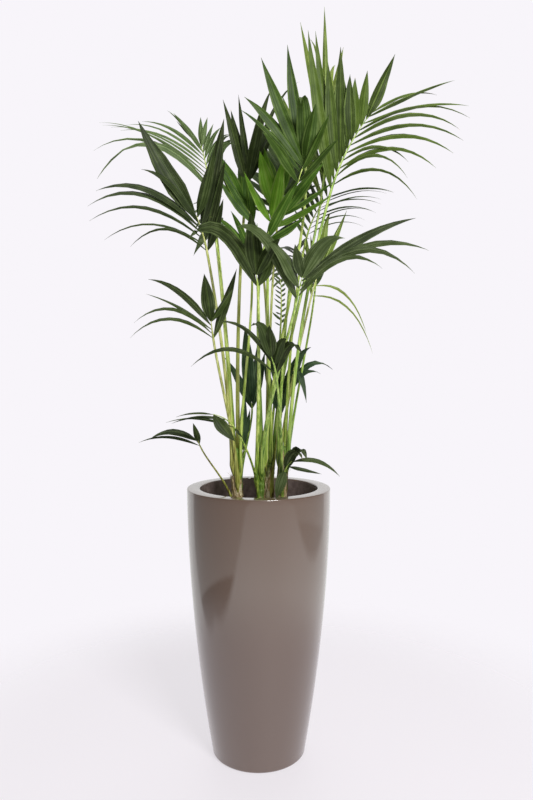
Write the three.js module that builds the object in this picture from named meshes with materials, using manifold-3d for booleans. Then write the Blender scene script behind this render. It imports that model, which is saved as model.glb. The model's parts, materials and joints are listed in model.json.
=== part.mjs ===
// Kentia palm in a tall round lacquered planter.
// Millimetres, +Z up. The origin is the centre of the planter's flat underside, and the front faces -Y.
// Four trunks stand in the potting mix. Long leaf stalks climb from them, and each carries one frond:
// a rib with a row of leaflets on either side.
import * as THREE from 'three';
import { mergeVertices } from 'three/addons/utils/BufferGeometryUtils.js';
import Module from 'manifold-3d';

const wasm = await Module();
wasm.setup();

// ---- driving dimensions ------------------------------------------------------------------------

const PLANTER = {
  height: 750,
  rimRadius: 200,
  footRadius: 130,
  belly: 1.85,          // power of the curve from the foot to the rim
  footEdge: 8,          // rounded edge under the foot
  rimEdge: 3,           // rounded edge of the rim, outside and inside
  rimWidth: 35.5,       // flat ring on top
  lipDepth: 100,        // how far the rim's inner face goes straight down
  lipSlope: 40,         // the lip's sloping underside
  wall: 6,
  floor: 10,
  segments: 32,
  steps: 6,             // rings up the outside
};
const SOIL = { top: 672, clear: 0.4 };

const STALK_SIDES = 5;
const STALK_STEPS = 5;
const STALK_POINTS = 40;      // places along a stalk where its room is measured
const STALK_PULL = 0.3;       // how far a stalk runs straight on at either end, as a share of its reach
const RIB_STEPS = 3;
const TRUNK_SIDES = 8;
const TRUNK_STEPS = 4;
const GAP = 0.3;              // between a stalk and its frond, a trunk and the potting mix
const CLEAR = 0.35;           // least gap between two solids that are not meant to touch
const STALK_CLEAR = 1.2;      // least gap between two stalks' round sides
const RIB_BOW = 3;            // how far a rib may bow from the straight line to its tip
const FOOT_BELOW_TOP = 8;     // least height from a stalk's foot to its trunk's top
const FOOT_SINK = 2;          // how far a stalk's foot is let into its trunk
const SLIVER = 0.3;           // slivers thinner than this are dropped where leaflets join
const SHINGLE = 12;           // degrees a leaflet is turned about its length, so neighbours lap
const FIRST_LEAFLET = 6;      // from the neck to the first leaflets

const TRUNKS = {
  left: { foot: [-58, -10], top: [-64, -12, 862], radius: [15, 10] },
  centre: { foot: [4, 0], top: [9, 2, 910], radius: [12, 6.5] },
  right: { foot: [62, -12], top: [68, -14, 868], radius: [14, 9] },
  back: { foot: [30, 52], top: [34, 60, 862], radius: [12, 8] },
};
const ROOT_FLARE = { height: 30, extra: 4 };

// Each frond: the trunk it grows from and the height where its stalk leaves it, the neck where the
// leaflets start, the rib's tip, and the stalk's radius at its foot and at the neck.
// Each side has a number of leaflets and a few keys, and the leaflets between them are worked out.
// A key is [place along the rib 0..1, slope in the front view (0 right, 90 up, 180 left),
// reach towards the front in degrees, length, droop, width].
const FRONDS = {
  right_high: {
    trunk: 'right', rise: 820, neck: [197, -20, 1565], tip: [314, 0, 1788],
    radius: [6, 4], green: 'deep',
    left: [11, [0, 99, 5, 412, 0, 44], [0.1, 97, 3, 392, 0, 38], [0.2, 96, 5, 290, 0, 44],
      [0.3, 90, 5, 305, 0.3, 38], [0.4, 96, 5, 195, 0, 48], [0.5, 96, 2, 222, 0, 40],
      [0.6, 94, 5, 170, 0, 44], [0.7, 92, 5, 150, 0, 36], [0.8, 84, 5, 145, 0.2, 28],
      [0.9, 67, 5, 180, 0, 30], [1, 64, 8, 102, 0, 22]],
    right: [11, [0, 32, 22, 280, 2, 22], [0.1, 43, 28, 250, 1.9, 20], [0.2, 31, 20, 288, 1.55, 26],
      [0.3, 32, 22, 210, 1.55, 22], [0.4, 25, 18, 305, 1.3, 26], [0.5, 27, 15, 320, 1.25, 26],
      [0.6, 33, 14, 310, 1.25, 30], [0.7, 30, 12, 308, 1.15, 26], [0.8, 20, 10, 288, 0.6, 24],
      [0.9, 27, 8, 244, 0.3, 28], [1, 35, 5, 190, 0.85, 22]],
  },
  centre_high: {
    trunk: 'centre', rise: 830, neck: [126, -55, 1612], tip: [102, -112, 1562],
    radius: [5.5, 3.5], green: 'bright',
    left: [5, [0, 99, 5, 318, 0, 46], [0.25, 115, 5, 288, 0, 46], [0.5, 124, 8, 232, 0.55, 42],
      [0.75, 127, 10, 220, 0.6, 36], [1, 121, 20, 160, 0.6, 40]],
    right: [4, [0, 93, 12, 230, 1.4, 46], [0.33, 80, 20, 150, 0, 44], [0.67, 63, 28, 155, 0.2, 40],
      [1, 45, 35, 155, 0.2, 36]],
  },
  left_front: {
    trunk: 'left', rise: 815, neck: [-135, -90, 1385], tip: [-160, -124, 1475],
    radius: [5.5, 3.5], green: 'dark',
    left: [7, [0, 140, 30, 255, 1.5, 17], [0.17, 149, 26, 290, 1.2, 16], [0.33, 142, 24, 332, 1.3, 17],
      [0.5, 137, 22, 335, 1.3, 20], [0.67, 135, 20, 308, 1.1, 24], [0.83, 120, 15, 203, 0.95, 34],
      [1, 121.5, 8, 275, 0, 70]],
    right: [4, [0, 70, 20, 140, 0, 34], [0.33, 77, 12, 204, 0.3, 42], [0.67, 78, 5, 285, 0, 48],
      [1, 76, 5, 180, 0, 40]],
  },
  right_front: {
    trunk: 'centre', rise: 800, neck: [97, -150, 1255], tip: [110, -180, 1312],
    radius: [6, 3.5], green: 'dark',
    left: [3, [0, 110, 15, 265, 1.1, 48], [0.5, 113, 18, 158, 0.85, 44], [1, 104, 10, 85, 0, 34]],
    right: [5, [0, 54, 20, 275, 1.45, 26], [0.25, 49, 18, 353, 1.5, 26], [0.5, 40, 15, 354, 1.1, 28],
      [0.75, 40, 5, 327, 0.55, 34], [1, 67, 8, 161, 1.15, 48]],
  },
  centre_front: {
    trunk: 'centre', rise: 770, neck: [-2, -160, 1286], tip: [-6, -178, 1318],
    radius: [5.5, 3.5], green: 'dark',
    left: [2, [0, 112, 18, 276, 1.35, 50], [1, 95, 8, 155, 0, 48]],
    right: [2, [0, 69, 15, 120, 0.2, 46], [1, 66, 20, 112, 0.7, 40]],
  },
  mid_left: {
    trunk: 'left', rise: 770, neck: [-119, -96, 1156], tip: [-124, -120, 1206],
    radius: [5, 3.2], green: 'dark',
    left: [5, [0, 141, 25, 250, 1.45, 16], [0.25, 134, 22, 243, 1.4, 15], [0.5, 142, 12, 192, 0.45, 16],
      [0.75, 126, 10, 204, 0.8, 24], [1, 97, 0, 122, 0, 38]],
    right: [2, [0, 70, 0, 192, 0, 28], [1, 56, 5, 104, 0, 24]],
  },
  mid_right: {
    trunk: 'right', rise: 760, neck: [46, -112, 1062], tip: [32, -142, 1112],
    radius: [5, 3.2], green: 'dark',
    left: [3, [0, 136, 25, 287, 1.4, 17], [0.5, 120, 15, 212, 1.05, 19], [1, 100, 5, 115, 1.2, 40]],
    right: [3, [0, 76, 10, 140, 1.6, 30], [0.5, 79, 10, 90, 1, 34], [1, 93, 10, 82, 0, 34]],
  },
  left_back: {
    trunk: 'left', rise: 835, neck: [-138, 82, 1585], tip: [-174, 170, 1752],
    radius: [5, 3], green: 'grey',
    left: [7, [0, 126, 6, 404, 1.95, 30], [0.17, 136, 5, 354, 0.8, 15], [0.33, 140, 2, 329, 0.7, 13],
      [0.5, 139, 0, 284, 0.8, 14], [0.67, 135, -3, 245, 0.8, 16], [0.83, 118, -8, 155, 0.45, 18],
      [1, 135, -5, 100, 0, 18]],
    right: [5, [0, 75, 10, 165, 1.25, 22], [0.25, 73, 5, 145, 1.1, 20], [0.5, 72, 0, 120, 1, 18],
      [0.75, 76, -8, 90, 0.4, 18], [1, 91, -15, 100, 0.5, 16]],
  },
  centre_left_up: {
    trunk: 'left', rise: 840, neck: [-34, 40, 1585], tip: [-26, 58, 1622],
    radius: [6, 3.5], green: 'dark',
    left: [3, [0, 104, 0, 250, 0.3, 30], [0.5, 103, 0, 208, 0, 30], [1, 97, 5, 222, 0, 22]],
    right: [4, [0, 81, 0, 274, 0.7, 36], [0.33, 68, -5, 218, 0.5, 28], [0.67, 74, -5, 353, 0.8, 18],
      [1, 72, -10, 214, 0, 32]],
  },
  centre_right_rise: {
    trunk: 'centre', rise: 880, neck: [18, -38, 1422], tip: [66, -52, 1495],
    radius: [5, 3.2], green: 'bright',
    left: [2, [0, 64, 15, 181, 0.35, 36], [1, 56, 10, 173, 0.35, 40]],
    right: [3, [0, 28, 20, 120, 0, 46], [0.5, 25, 15, 180, 0, 46], [1, 31, 15, 160, 0, 38]],
  },
  centre_bright: {
    trunk: 'back', rise: 840, neck: [34, -8, 1478], tip: [60, 4, 1562],
    radius: [5.5, 3.5], green: 'bright',
    left: [3, [0, 121, 8, 150, 0, 38], [0.5, 105, 10, 152, 0, 48], [1, 109, 10, 130, 0, 48]],
    right: [2, [0, 80, 10, 165, 0, 42], [1, 80, 10, 125, 0.6, 38]],
  },
  centre_left_arch: {
    trunk: 'back', rise: 815, neck: [-10, 10, 1476], tip: [-52, 18, 1545],
    radius: [5, 3.2], green: 'bright',
    left: [3, [0, 130, 0, 165, 0, 34], [1, 110, -12, 165, 0.2, 46]],
    right: [3, [0, 97, -20, 142, 0.7, 24], [1, 91, -20, 180, 0.5, 26]],
  },
  top_back: {
    trunk: 'back', rise: 850, neck: [182, 108, 1580], tip: [198, 150, 1806],
    radius: [6, 3.5], green: 'pale',
    left: [5, [0, 110, -10, 325, 0, 32], [0.25, 106, -10, 290, 0.5, 32], [0.5, 103, -10, 255, 0.85, 32],
      [0.75, 103, 0, 338, 0, 24], [1, 95, 0, 240, 0.95, 22]],
    right: [5, [0, 84, -10, 378, 0, 34], [0.25, 72, -15, 300, 0.5, 30], [0.5, 81, -10, 350, 0.45, 30],
      [0.75, 86, -5, 256, 1, 26], [1, 91, 0, 345, 0, 20]],
  },
  right_mid_back: {
    trunk: 'right', rise: 840, neck: [138, 100, 1456], tip: [209, 170, 1597],
    radius: [4.5, 3], green: 'deep',
    left: [5, [0, 118, -30, 90, 0.2, 16], [1, 100, -20, 130, 0.2, 16]],
    right: [6, [0, 36, -15, 200, 0.9, 9], [0.5, 30, -10, 200, 0.8, 9], [1, 25, -10, 215, 0.7, 9]],
  },
  right_back: {
    trunk: 'right', rise: 790, neck: [150, 70, 1284], tip: [182, 92, 1378],
    radius: [4.5, 3], green: 'pale',
    left: [3, [0, 93, -10, 172, 0.55, 18], [1, 88, -10, 140, 0.6, 20]],
    right: [4, [0, 5, 5, 262, 3.5, 16], [0.33, 8, 0, 225, 3.4, 15], [0.67, 67, -5, 212, 0, 26],
      [1, 84, -10, 180, 0.9, 22]],
  },
  right_back_low: {
    trunk: 'right', rise: 760, neck: [165, 110, 1310], tip: [172, 210, 1390],
    radius: [4, 2.8], green: 'deep',
    left: [4, [0, 110, -55, 170, 0.4, 22], [1, 100, -50, 150, 0.3, 20]],
    right: [4, [0, 70, -62, 180, 0.6, 22], [1, 78, -55, 160, 0.4, 20]],
  },
  mid_back: {
    trunk: 'back', rise: 780, neck: [64, 96, 1200], tip: [66, 170, 1350],
    radius: [4, 2.8], green: 'grey',
    left: [5, [0, 130, -60, 62, 0.2, 11], [1, 120, -60, 62, 0.2, 11]],
    right: [5, [0, 52, -60, 55, 0.2, 11], [1, 62, -60, 55, 0.2, 11]],
  },
  back_far: {
    trunk: 'back', rise: 780, neck: [60, 215, 1545], tip: [100, 345, 1705],
    radius: [4.8, 3], green: 'deep',
    left: [6, [0, 140, -35, 200, 0.5, 38], [1, 108, -25, 220, 0.2, 34]],
    right: [6, [0, 45, -35, 210, 0.5, 38], [1, 78, -25, 220, 0.2, 34]],
  },
  back_right: {
    trunk: 'right', rise: 790, neck: [95, 190, 1345], tip: [122, 330, 1460],
    radius: [5, 3], green: 'deep',
    left: [5, [0, 140, -60, 200, 0.8, 26], [1, 120, -60, 180, 0.5, 22]],
    right: [5, [0, 60, -60, 200, 0.9, 26], [1, 65, -60, 190, 0.5, 22]],
  },
  back_left: {
    trunk: 'left', rise: 790, neck: [-125, 170, 1480], tip: [-152, 330, 1600],
    radius: [5, 3], green: 'deep',
    left: [5, [0, 155, -60, 200, 1, 26], [1, 120, -60, 180, 0.5, 22]],
    right: [5, [0, 85, -60, 190, 0.9, 24], [1, 80, -60, 180, 0.5, 22]],
  },
  low_back_right: {
    trunk: 'back', rise: 760, neck: [64, 66, 942], tip: [80, 84, 1000],
    radius: [4.5, 3], green: 'shade',
    left: [2, [0, 108, 5, 160, 0, 32], [1, 108, 5, 165, 0, 42]],
    right: [4, [0, 82, 12, 254, 2.15, 28], [0.33, 79, 5, 204, 0.95, 38], [0.67, 68, 5, 212, 1.3, 24],
      [1, 65, 5, 143, 1.25, 22]],
  },
  low_back_left: {
    trunk: 'left', rise: 750, neck: [-19, 70, 960], tip: [-22, 78, 985],
    radius: [4, 2.8], green: 'shade',
    left: [2, [0, 111, 0, 165, 0.5, 28], [1, 95, 5, 222, 0, 40]],
    right: [2, [0, 78, 5, 165, 0, 28], [1, 84, 0, 195, 0, 24]],
  },
  low_left_arch: {
    trunk: 'centre', rise: 700, neck: [-60, -140, 925], tip: [-115, -190, 967],
    radius: [3.5, 2.4], green: 'dark',
    left: [3, [0, 157, 5, 180, 0.75, 12], [0.5, 166, 8, 140, 0.7, 14], [1, 170, 10, 96, 0.6, 9]],
    right: [2, [0, -52, 10, 34, 0, 9], [1, -51, 10, 86, 0, 38]],
  },
  low_left_small: {
    trunk: 'left', rise: 695, neck: [-155, -80, 870], tip: [-162, -90, 890],
    radius: [3, 2.2], green: 'dark',
    left: [2, [0, 153, 12, 165, 0.9, 12], [1, 146, 15, 140, 1.2, 24]],
    right: [1, [0, 105, 0, 58, 0.3, 18]],
  },
  low_right: {
    trunk: 'right', rise: 720, neck: [70, -64, 800], tip: [88, -78, 832],
    radius: [3.5, 2.4], green: 'dark',
    left: [2, [0, 75, 20, 105, 1.4, 32], [1, 73, 15, 85, 1.9, 26]],
    right: [3, [0, -110, 15, 78, 0.3, 32], [0.5, -10, 15, 95, 0.1, 15], [1, 19, 20, 146, 1.35, 15]],
  },
  centre_low_left: {
    trunk: 'left', rise: 800, neck: [-18, -60, 1366], tip: [-24, -68, 1398],
    radius: [4.5, 3], green: 'bright',
    left: [2, [0, 118, 10, 165, 0.9, 20], [1, 112, 10, 110, 0.4, 20]],
    right: [1, [0, 80, 0, 90, 0, 20]],
  },
  low_back_small: {
    trunk: 'left', rise: 700, neck: [-45, 40, 835], tip: [-44, 44, 860],
    radius: [3, 2.2], green: 'shade',
    left: [1, [0, 89, 0, 175, 0, 24]],
    right: [1, [0, 80, 0, 120, 0, 18]],
  },
};

// Materials: [colour, roughness, metalness].
const FINISHES = {
  lacquer: ['#7d706a', 0.15, 0],
  soil: ['#2c2119', 0.95, 0],
  trunk: ['#8a7a4c', 0.85, 0],
  stalk: ['#8fb04e', 0.5, 0],
  deep: ['#3f6b30', 0.45, 0],
  bright: ['#5a8f2e', 0.45, 0],
  dark: ['#35552b', 0.45, 0],
  grey: ['#7d9169', 0.5, 0],
  pale: ['#8fae4f', 0.5, 0],
  shade: ['#253c28', 0.5, 0],
};

// ---- small helpers -------------------------------------------------------------------------------

const vec = (x, y, z) => new THREE.Vector3(x, y, z);
const mix = (a, b, t) => a + (b - a) * t;
const DOWN = vec(0, 0, -1);
const BACK = vec(0, 1, 0);
const TO_LIGHT = vec(0, -1, 0.8).normalize();   // the light that the plant grew in: in front and above

// The same fraction 0..1 each time for the same four whole numbers.
function chance(a, b, c, d) {
  const value = Math.sin((a + 1) * 12.9898 + (b + 1) * 78.233 + (c + 1) * 37.719 + (d + 1) * 4.581);
  return value * 43758.5453 - Math.floor(value * 43758.5453);
}

// The direction with this slope in the front view and this reach towards the front.
function heading(slope, reach) {
  const a = THREE.MathUtils.degToRad(slope);
  const b = THREE.MathUtils.degToRad(reach);
  return vec(Math.cos(a) * Math.cos(b), -Math.sin(b), Math.sin(a) * Math.cos(b));
}

function toSolid(geometry) {
  geometry.deleteAttribute('normal');
  geometry.deleteAttribute('uv');
  const merged = mergeVertices(geometry, 1e-3);
  return new wasm.Manifold(new wasm.Mesh({
    numProp: 3,
    vertProperties: merged.attributes.position.array,
    triVerts: new Uint32Array(merged.index.array),
  }));
}

function toGeometry(solid) {
  const mesh = solid.getMesh();
  const geometry = new THREE.BufferGeometry();
  geometry.setAttribute('position', new THREE.BufferAttribute(mesh.vertProperties, 3));
  geometry.setIndex(new THREE.BufferAttribute(mesh.triVerts, 1));
  geometry.computeVertexNormals();
  return geometry;
}

// A cylinder whose rings are carried along a path: ringAt(s) gives a ring's centre and its two
// half-axes. A pointed one ends in its path's last point.
function loft(sides, steps, pointed, ringAt) {
  const geometry = new THREE.CylinderGeometry(pointed ? 0 : 1, 1, 1, sides, steps);
  const place = geometry.attributes.position;
  for (let i = 0; i < place.count; i++) {
    const s = place.getY(i) + 0.5;
    const size = pointed ? Math.max(1 - s, 1e-6) : 1;
    const { centre, across, up } = ringAt(s);
    const point = centre.clone()
      .addScaledVector(across, place.getX(i) / size)
      .addScaledVector(up, place.getZ(i) / size);
    place.setXYZ(i, point.x, point.y, point.z);
  }
  return geometry;
}

// A round limb along a curve, from one radius to another.
function limb(curve, from, to, sides, steps, pointed = false) {
  return loft(sides, steps, pointed, (s) => {
    const along = curve.getTangent(s);
    const across = along.clone().cross(BACK).normalize();
    const up = across.clone().cross(along);
    const radius = mix(from, to, s);
    return {
      centre: curve.getPoint(s),
      across: across.multiplyScalar(radius),
      up: up.multiplyScalar(radius),
    };
  });
}

// ---- planter and potting mix ---------------------------------------------------------------------

function planterRadius(z) {
  const { height, rimRadius, footRadius, belly } = PLANTER;
  return rimRadius - (rimRadius - footRadius) * (1 - z / height) ** belly;
}

// Inner face of the planter from its floor to the rim: points [radius, height].
function innerProfile(inset) {
  const { height, rimRadius, rimWidth, lipDepth, lipSlope, wall, floor, steps } = PLANTER;
  const lipRadius = rimRadius - rimWidth;
  const below = height - lipDepth - lipSlope;
  const points = [];
  for (let i = 0; i <= steps; i++) {
    const z = mix(floor, below, i / steps);
    points.push([planterRadius(z) - wall - inset, i === 0 ? z + inset : z]);
  }
  points.push([lipRadius - inset, height - lipDepth]);
  return points;
}

function planter() {
  const { height, rimRadius, footRadius, footEdge, rimEdge, rimWidth, steps, segments, floor } = PLANTER;
  const lipRadius = rimRadius - rimWidth;
  const outline = [[0, 0], [footRadius - footEdge, 0], [footRadius - footEdge * 0.3, footEdge * 0.3]];
  for (let i = 0; i <= steps; i++) {
    const z = mix(footEdge, height - rimEdge, i / steps);
    outline.push([planterRadius(z), z]);
  }
  outline.push([rimRadius - rimEdge, height], [lipRadius + rimEdge, height], [lipRadius, height - rimEdge]);
  outline.push(...innerProfile(0).reverse(), [0, floor]);
  const points = outline.map(([r, z]) => new THREE.Vector2(r, z));
  return toSolid(new THREE.LatheGeometry(points, segments).rotateX(Math.PI / 2));
}

function pottingMix() {
  const inner = innerProfile(SOIL.clear);
  const lipRadius = inner.at(-1)[0];
  const outline = [[0, inner[0][1]], ...inner, [lipRadius, SOIL.top], [0, SOIL.top]];
  const points = outline.map(([r, z]) => new THREE.Vector2(r, z));
  return toSolid(new THREE.LatheGeometry(points, PLANTER.segments).rotateX(Math.PI / 2));
}

// ---- trunks and stalks ---------------------------------------------------------------------------

function trunkAt(trunk, z) {
  const s = (z - SOIL.top) / (trunk.top[2] - SOIL.top);
  return {
    centre: vec(mix(trunk.foot[0], trunk.top[0], s), mix(trunk.foot[1], trunk.top[1], s), z),
    radius: mix(trunk.radius[0], trunk.radius[1], s),
  };
}

function trunkSolid(trunk) {
  return toSolid(loft(TRUNK_SIDES, TRUNK_STEPS, false, (s) => {
    const { centre, radius } = trunkAt(trunk, mix(SOIL.top + GAP, trunk.top[2], s));
    const flare = Math.max(0, 1 - (centre.z - SOIL.top) / ROOT_FLARE.height);
    const size = radius + ROOT_FLARE.extra * flare * flare;
    return { centre, across: vec(size, 0, 0), up: vec(0, -size, 0) };
  }));
}

// A stalk's centre line: it leaves the trunk along its side and bends out to the neck. The foot is
// turned round the trunk, and lifted, from straight under the neck.
function stalkCurve(frond, turn, lift) {
  const trunk = TRUNKS[frond.trunk];
  const { centre, radius } = trunkAt(trunk, frond.rise + lift);
  const neck = vec(...frond.neck);
  const out = vec(neck.x - centre.x, neck.y - centre.y, 0).normalize();
  out.applyAxisAngle(vec(0, 0, 1), THREE.MathUtils.degToRad(turn));
  const foot = centre.clone().addScaledVector(out, radius + frond.radius[0] - FOOT_SINK);
  const axis = trunkAt(trunk, trunk.top[2]).centre.sub(trunkAt(trunk, SOIL.top).centre).normalize();
  const length = foot.distanceTo(neck);
  const end = neckDirection(frond, foot);
  return new THREE.CubicBezierCurve3(
    foot,
    foot.clone().addScaledVector(axis, length * STALK_PULL),
    neck.clone().addScaledVector(end, -length * STALK_PULL),
    neck,
  );
}

// Which way the stalk points where it becomes the rib.
function neckDirection(frond, foot) {
  const neck = vec(...frond.neck);
  const climb = neck.clone().sub(foot).normalize();
  const onward = vec(...frond.tip).sub(neck).normalize();
  return climb.multiplyScalar(0.6).addScaledVector(onward, 0.4).normalize();
}

// Least distance between the round sides of two limbs, each given as points with a radius.
function sideGap(one, other) {
  let least = Infinity;
  const nearest = vec(0, 0, 0);
  for (const p of one) {
    for (let i = 1; i < other.length; i++) {
      const line = new THREE.Line3(other[i - 1].point, other[i].point);
      line.closestPointToPoint(p.point, true, nearest);
      least = Math.min(least, nearest.distanceTo(p.point) - p.radius - other[i].radius);
    }
  }
  return least;
}

function roundPoints(curve, from, to, count) {
  const points = curve.getPoints(count);
  return points.map((point, i) => ({ point, radius: mix(from, to, i / count) }));
}

const TURNS = [0, 14, -14, 28, -28, 44, -44, 62, -62, 82, -82];
const LIFTS = [0, 14, -14, 28, -28, 42, -42, 56, -56, 70, -70];

// The first turn and lift of the foot that keep the stalk clear of what is taken, apart from its own
// trunk and rib.
function settleStalk(name, frond, taken) {
  let best = null;
  const highest = TRUNKS[frond.trunk].top[2] - FOOT_BELOW_TOP;
  for (const lift of LIFTS.filter((step) => frond.rise + step <= highest)) {
    for (const turn of TURNS) {
      const curve = stalkCurve(frond, turn, lift);
      const points = roundPoints(curve, ...frond.radius, STALK_POINTS);
      const gap = Math.min(...taken.map((other) => (
        [name, frond.trunk].includes(other.owner) ? STALK_CLEAR : sideGap(points, other.points))));
      if (gap >= STALK_CLEAR) {
        return { curve, points, gap };
      }
      if (!best || gap > best.gap) {
        best = { curve, points, gap };
      }
    }
  }
  return best;
}

// ---- fronds --------------------------------------------------------------------------------------

// The leaflet's numbers at this place along the rib, worked out between the side's keys.
function keyAt(keys, place) {
  const next = keys.findIndex((key) => key[0] >= place);
  if (next <= 0) {
    return keys[next === 0 ? 0 : keys.length - 1];
  }
  const t = (place - keys[next - 1][0]) / (keys[next][0] - keys[next - 1][0]);
  return keys[next].map((value, i) => mix(keys[next - 1][i], value, t));
}

// One leaflet's place and size. number is the frond's, side 0 is left and 1 is right.
function leafletPlan(frond, number, side, index, rib) {
  const [count, ...keys] = side ? frond.right : frond.left;
  const place = count > 1 ? index / (count - 1) : 0.3;
  const loose = count > keys.length ? 1 : 0.35;
  const shift = (which) => (chance(number, side, index, which) - 0.5) * loose;
  const [, slope, reach, length, droop, width] = keyAt(keys, place);
  const stagger = side && count > 4 && place < 0.99 ? 0.5 / count : 0;
  const first = Math.min(FIRST_LEAFLET / rib.length, 0.4);
  const start = mix(first, 0.97, Math.min(1, place + stagger));
  const away = heading(slope, reach);
  const face = TO_LIGHT.clone().projectOnPlane(away).normalize();
  face.applyAxisAngle(away, THREE.MathUtils.degToRad(side ? -SHINGLE : SHINGLE));
  return {
    root: rib.curve.getPoint(start),
    slope: slope + 6 * shift(0),
    reach: reach + 22 * shift(1),
    length: length * (1 + 0.12 * shift(2)),
    droop: droop * (1 + 0.3 * shift(3)),
    width: width * (1 + 0.15 * shift(4)),
    face,
  };
}

// Half the leaflet's width as a share of its widest: a folded foot, a broad middle and a long tip.
function leafletOutline(s) {
  const rise = 0.16 + 0.84 * Math.sin(Math.min(1, s / 0.38) * Math.PI / 2) ** 0.95;
  const fall = s < 0.38 ? 1 : Math.max(0, 1 - ((s - 0.38) / 0.62) ** 1.8);
  return rise * fall;
}

const FINE = 24;              // steps in which a leaflet's bend is worked out
const LEAFLET_RINGS = 3;
const LEAFLET_THICKNESS = 1 / 80;   // as a share of the leaflet's length
const LEAST_THICKNESS = 2.4;
const LEAST_HALF_WIDTH = 1.2;

// A three-sided blade that starts in the rib and bends down under its own weight.
function leafletSolid(plan) {
  const away = heading(plan.slope, plan.reach);
  const wide = away.clone().cross(plan.face).normalize();
  const points = [plan.root.clone()];
  const directions = [];
  for (let i = 0; i < FINE; i++) {
    const s = (i + 0.5) / FINE;
    const along = away.clone().addScaledVector(DOWN, plan.droop * s ** 1.4).normalize();
    directions.push(along);
    points.push(points[i].clone().addScaledVector(along, plan.length / FINE));
  }
  const thickness = Math.max(LEAST_THICKNESS, plan.length * LEAFLET_THICKNESS);
  return toSolid(loft(3, LEAFLET_RINGS, true, (s) => {
    const i = Math.round(s * FINE);
    const along = directions[Math.min(i, FINE - 1)];
    const across = wide.clone().addScaledVector(along, -wide.dot(along)).normalize();
    const up = across.clone().cross(along);
    // the blade's three corners: two at its edges and one on its keel
    const half = Math.max(plan.width / 2 * leafletOutline(s), LEAST_HALF_WIDTH);
    return {
      centre: points[i],
      across: across.multiplyScalar(half / Math.sin(Math.PI / 1.5)),
      up: up.multiplyScalar(thickness / 1.5),
    };
  }));
}

// Ways to move a leaflet that would touch another piece: [slope, reach, share of its length].
const TRIES = [
  [0, 0, 1], [5, 0, 1], [-5, 0, 1], [0, 8, 1], [0, -8, 1], [9, 6, 1], [-9, -6, 1], [9, -6, 1], [-9, 6, 1],
  [0, 0, 0.82], [0, 14, 0.82], [0, -14, 0.82], [12, 0, 0.82], [-12, 0, 0.82], [0, 0, 0.62], [0, 20, 0.62],
  [0, -20, 0.62], [18, 0, 0.62], [-18, 0, 0.62],
];

function boxOf(solid) {
  const { min, max } = solid.boundingBox();
  return new THREE.Box3(vec(...min), vec(...max)).expandByScalar(CLEAR);
}

function touches(solid, owner, placed) {
  const box = boxOf(solid);
  return placed.some((piece) => (
    piece.owner !== owner && piece.box.intersectsBox(box) && solid.minGap(piece.solid, 1) < CLEAR));
}

// The leaflet where it touches nothing, or null where every way of moving it fails.
function settleLeaflet(plan, owner, placed) {
  for (const [slope, reach, share] of TRIES) {
    const solid = leafletSolid({
      ...plan,
      slope: plan.slope + slope,
      reach: plan.reach + reach,
      length: plan.length * share,
    });
    if (!touches(solid, owner, placed)) {
      return solid;
    }
  }
  return null;
}

// ---- assembly ------------------------------------------------------------------------------------

const palm = new THREE.Group();

function addMesh(name, solid, finish) {
  const [color, roughness, metalness] = FINISHES[finish];
  const material = new THREE.MeshStandardMaterial({ color, roughness, metalness });
  const mesh = new THREE.Mesh(toGeometry(solid), material);
  mesh.name = name;
  palm.add(mesh);
}

function largest(solid) {
  return solid.decompose().sort((a, b) => b.volume() - a.volume())[0];
}

addMesh('planter', planter(), 'lacquer');
addMesh('potting_mix', pottingMix(), 'soil');

const placed = [];
const taken = [];
for (const [name, trunk] of Object.entries(TRUNKS)) {
  const line = new THREE.LineCurve3(vec(...trunk.foot, SOIL.top), vec(...trunk.top));
  taken.push({ owner: name, points: roundPoints(line, ...trunk.radius, 8) });
}
for (const [name, frond] of Object.entries(FRONDS)) {
  const line = new THREE.LineCurve3(vec(...frond.neck), vec(...frond.tip));
  taken.push({ owner: name, points: roundPoints(line, frond.radius[1] + RIB_BOW, RIB_BOW, 4) });
}

// Stalks first, because nothing moves them. Each one's rib starts GAP beyond the neck.
const ribs = {};
const stalks = {};
const seats = [];
for (const [name, frond] of Object.entries(FRONDS)) {
  const { curve, points } = settleStalk(name, frond, taken);
  taken.push({ points });
  seats.push(toSolid(limb(curve, ...frond.radius.map((radius) => radius + GAP), STALK_SIDES, STALK_STEPS)));
  const neck = vec(...frond.neck);
  const onward = curve.getTangent(1);
  const tip = vec(...frond.tip);
  const start = neck.clone().addScaledVector(onward, GAP);
  const bend = neck.clone().addScaledVector(onward, neck.distanceTo(tip) * 0.5);
  const ribCurve = new THREE.QuadraticBezierCurve3(start, bend, tip);
  stalks[name] = toSolid(limb(curve, ...frond.radius, STALK_SIDES, STALK_STEPS));
  ribs[name] = { curve: ribCurve, length: ribCurve.getLength() };
  ribs[name].solid = toSolid(limb(ribCurve, frond.radius[1], 0.8, STALK_SIDES, RIB_STEPS, true));
  placed.push({ owner: '', box: boxOf(stalks[name]), solid: stalks[name] });
  placed.push({ owner: name, box: boxOf(ribs[name].solid), solid: ribs[name].solid });
}

// Each trunk has a seat cut in it for the foot of every stalk, one gap wider than the stalk.
for (const [name, trunk] of Object.entries(TRUNKS)) {
  const solid = seats.reduce((left, seat) => left.subtract(seat), trunkSolid(trunk));
  placed.push({ owner: '', box: boxOf(solid), solid });
  addMesh(`trunk_${name}`, largest(solid), 'trunk');
}

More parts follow.
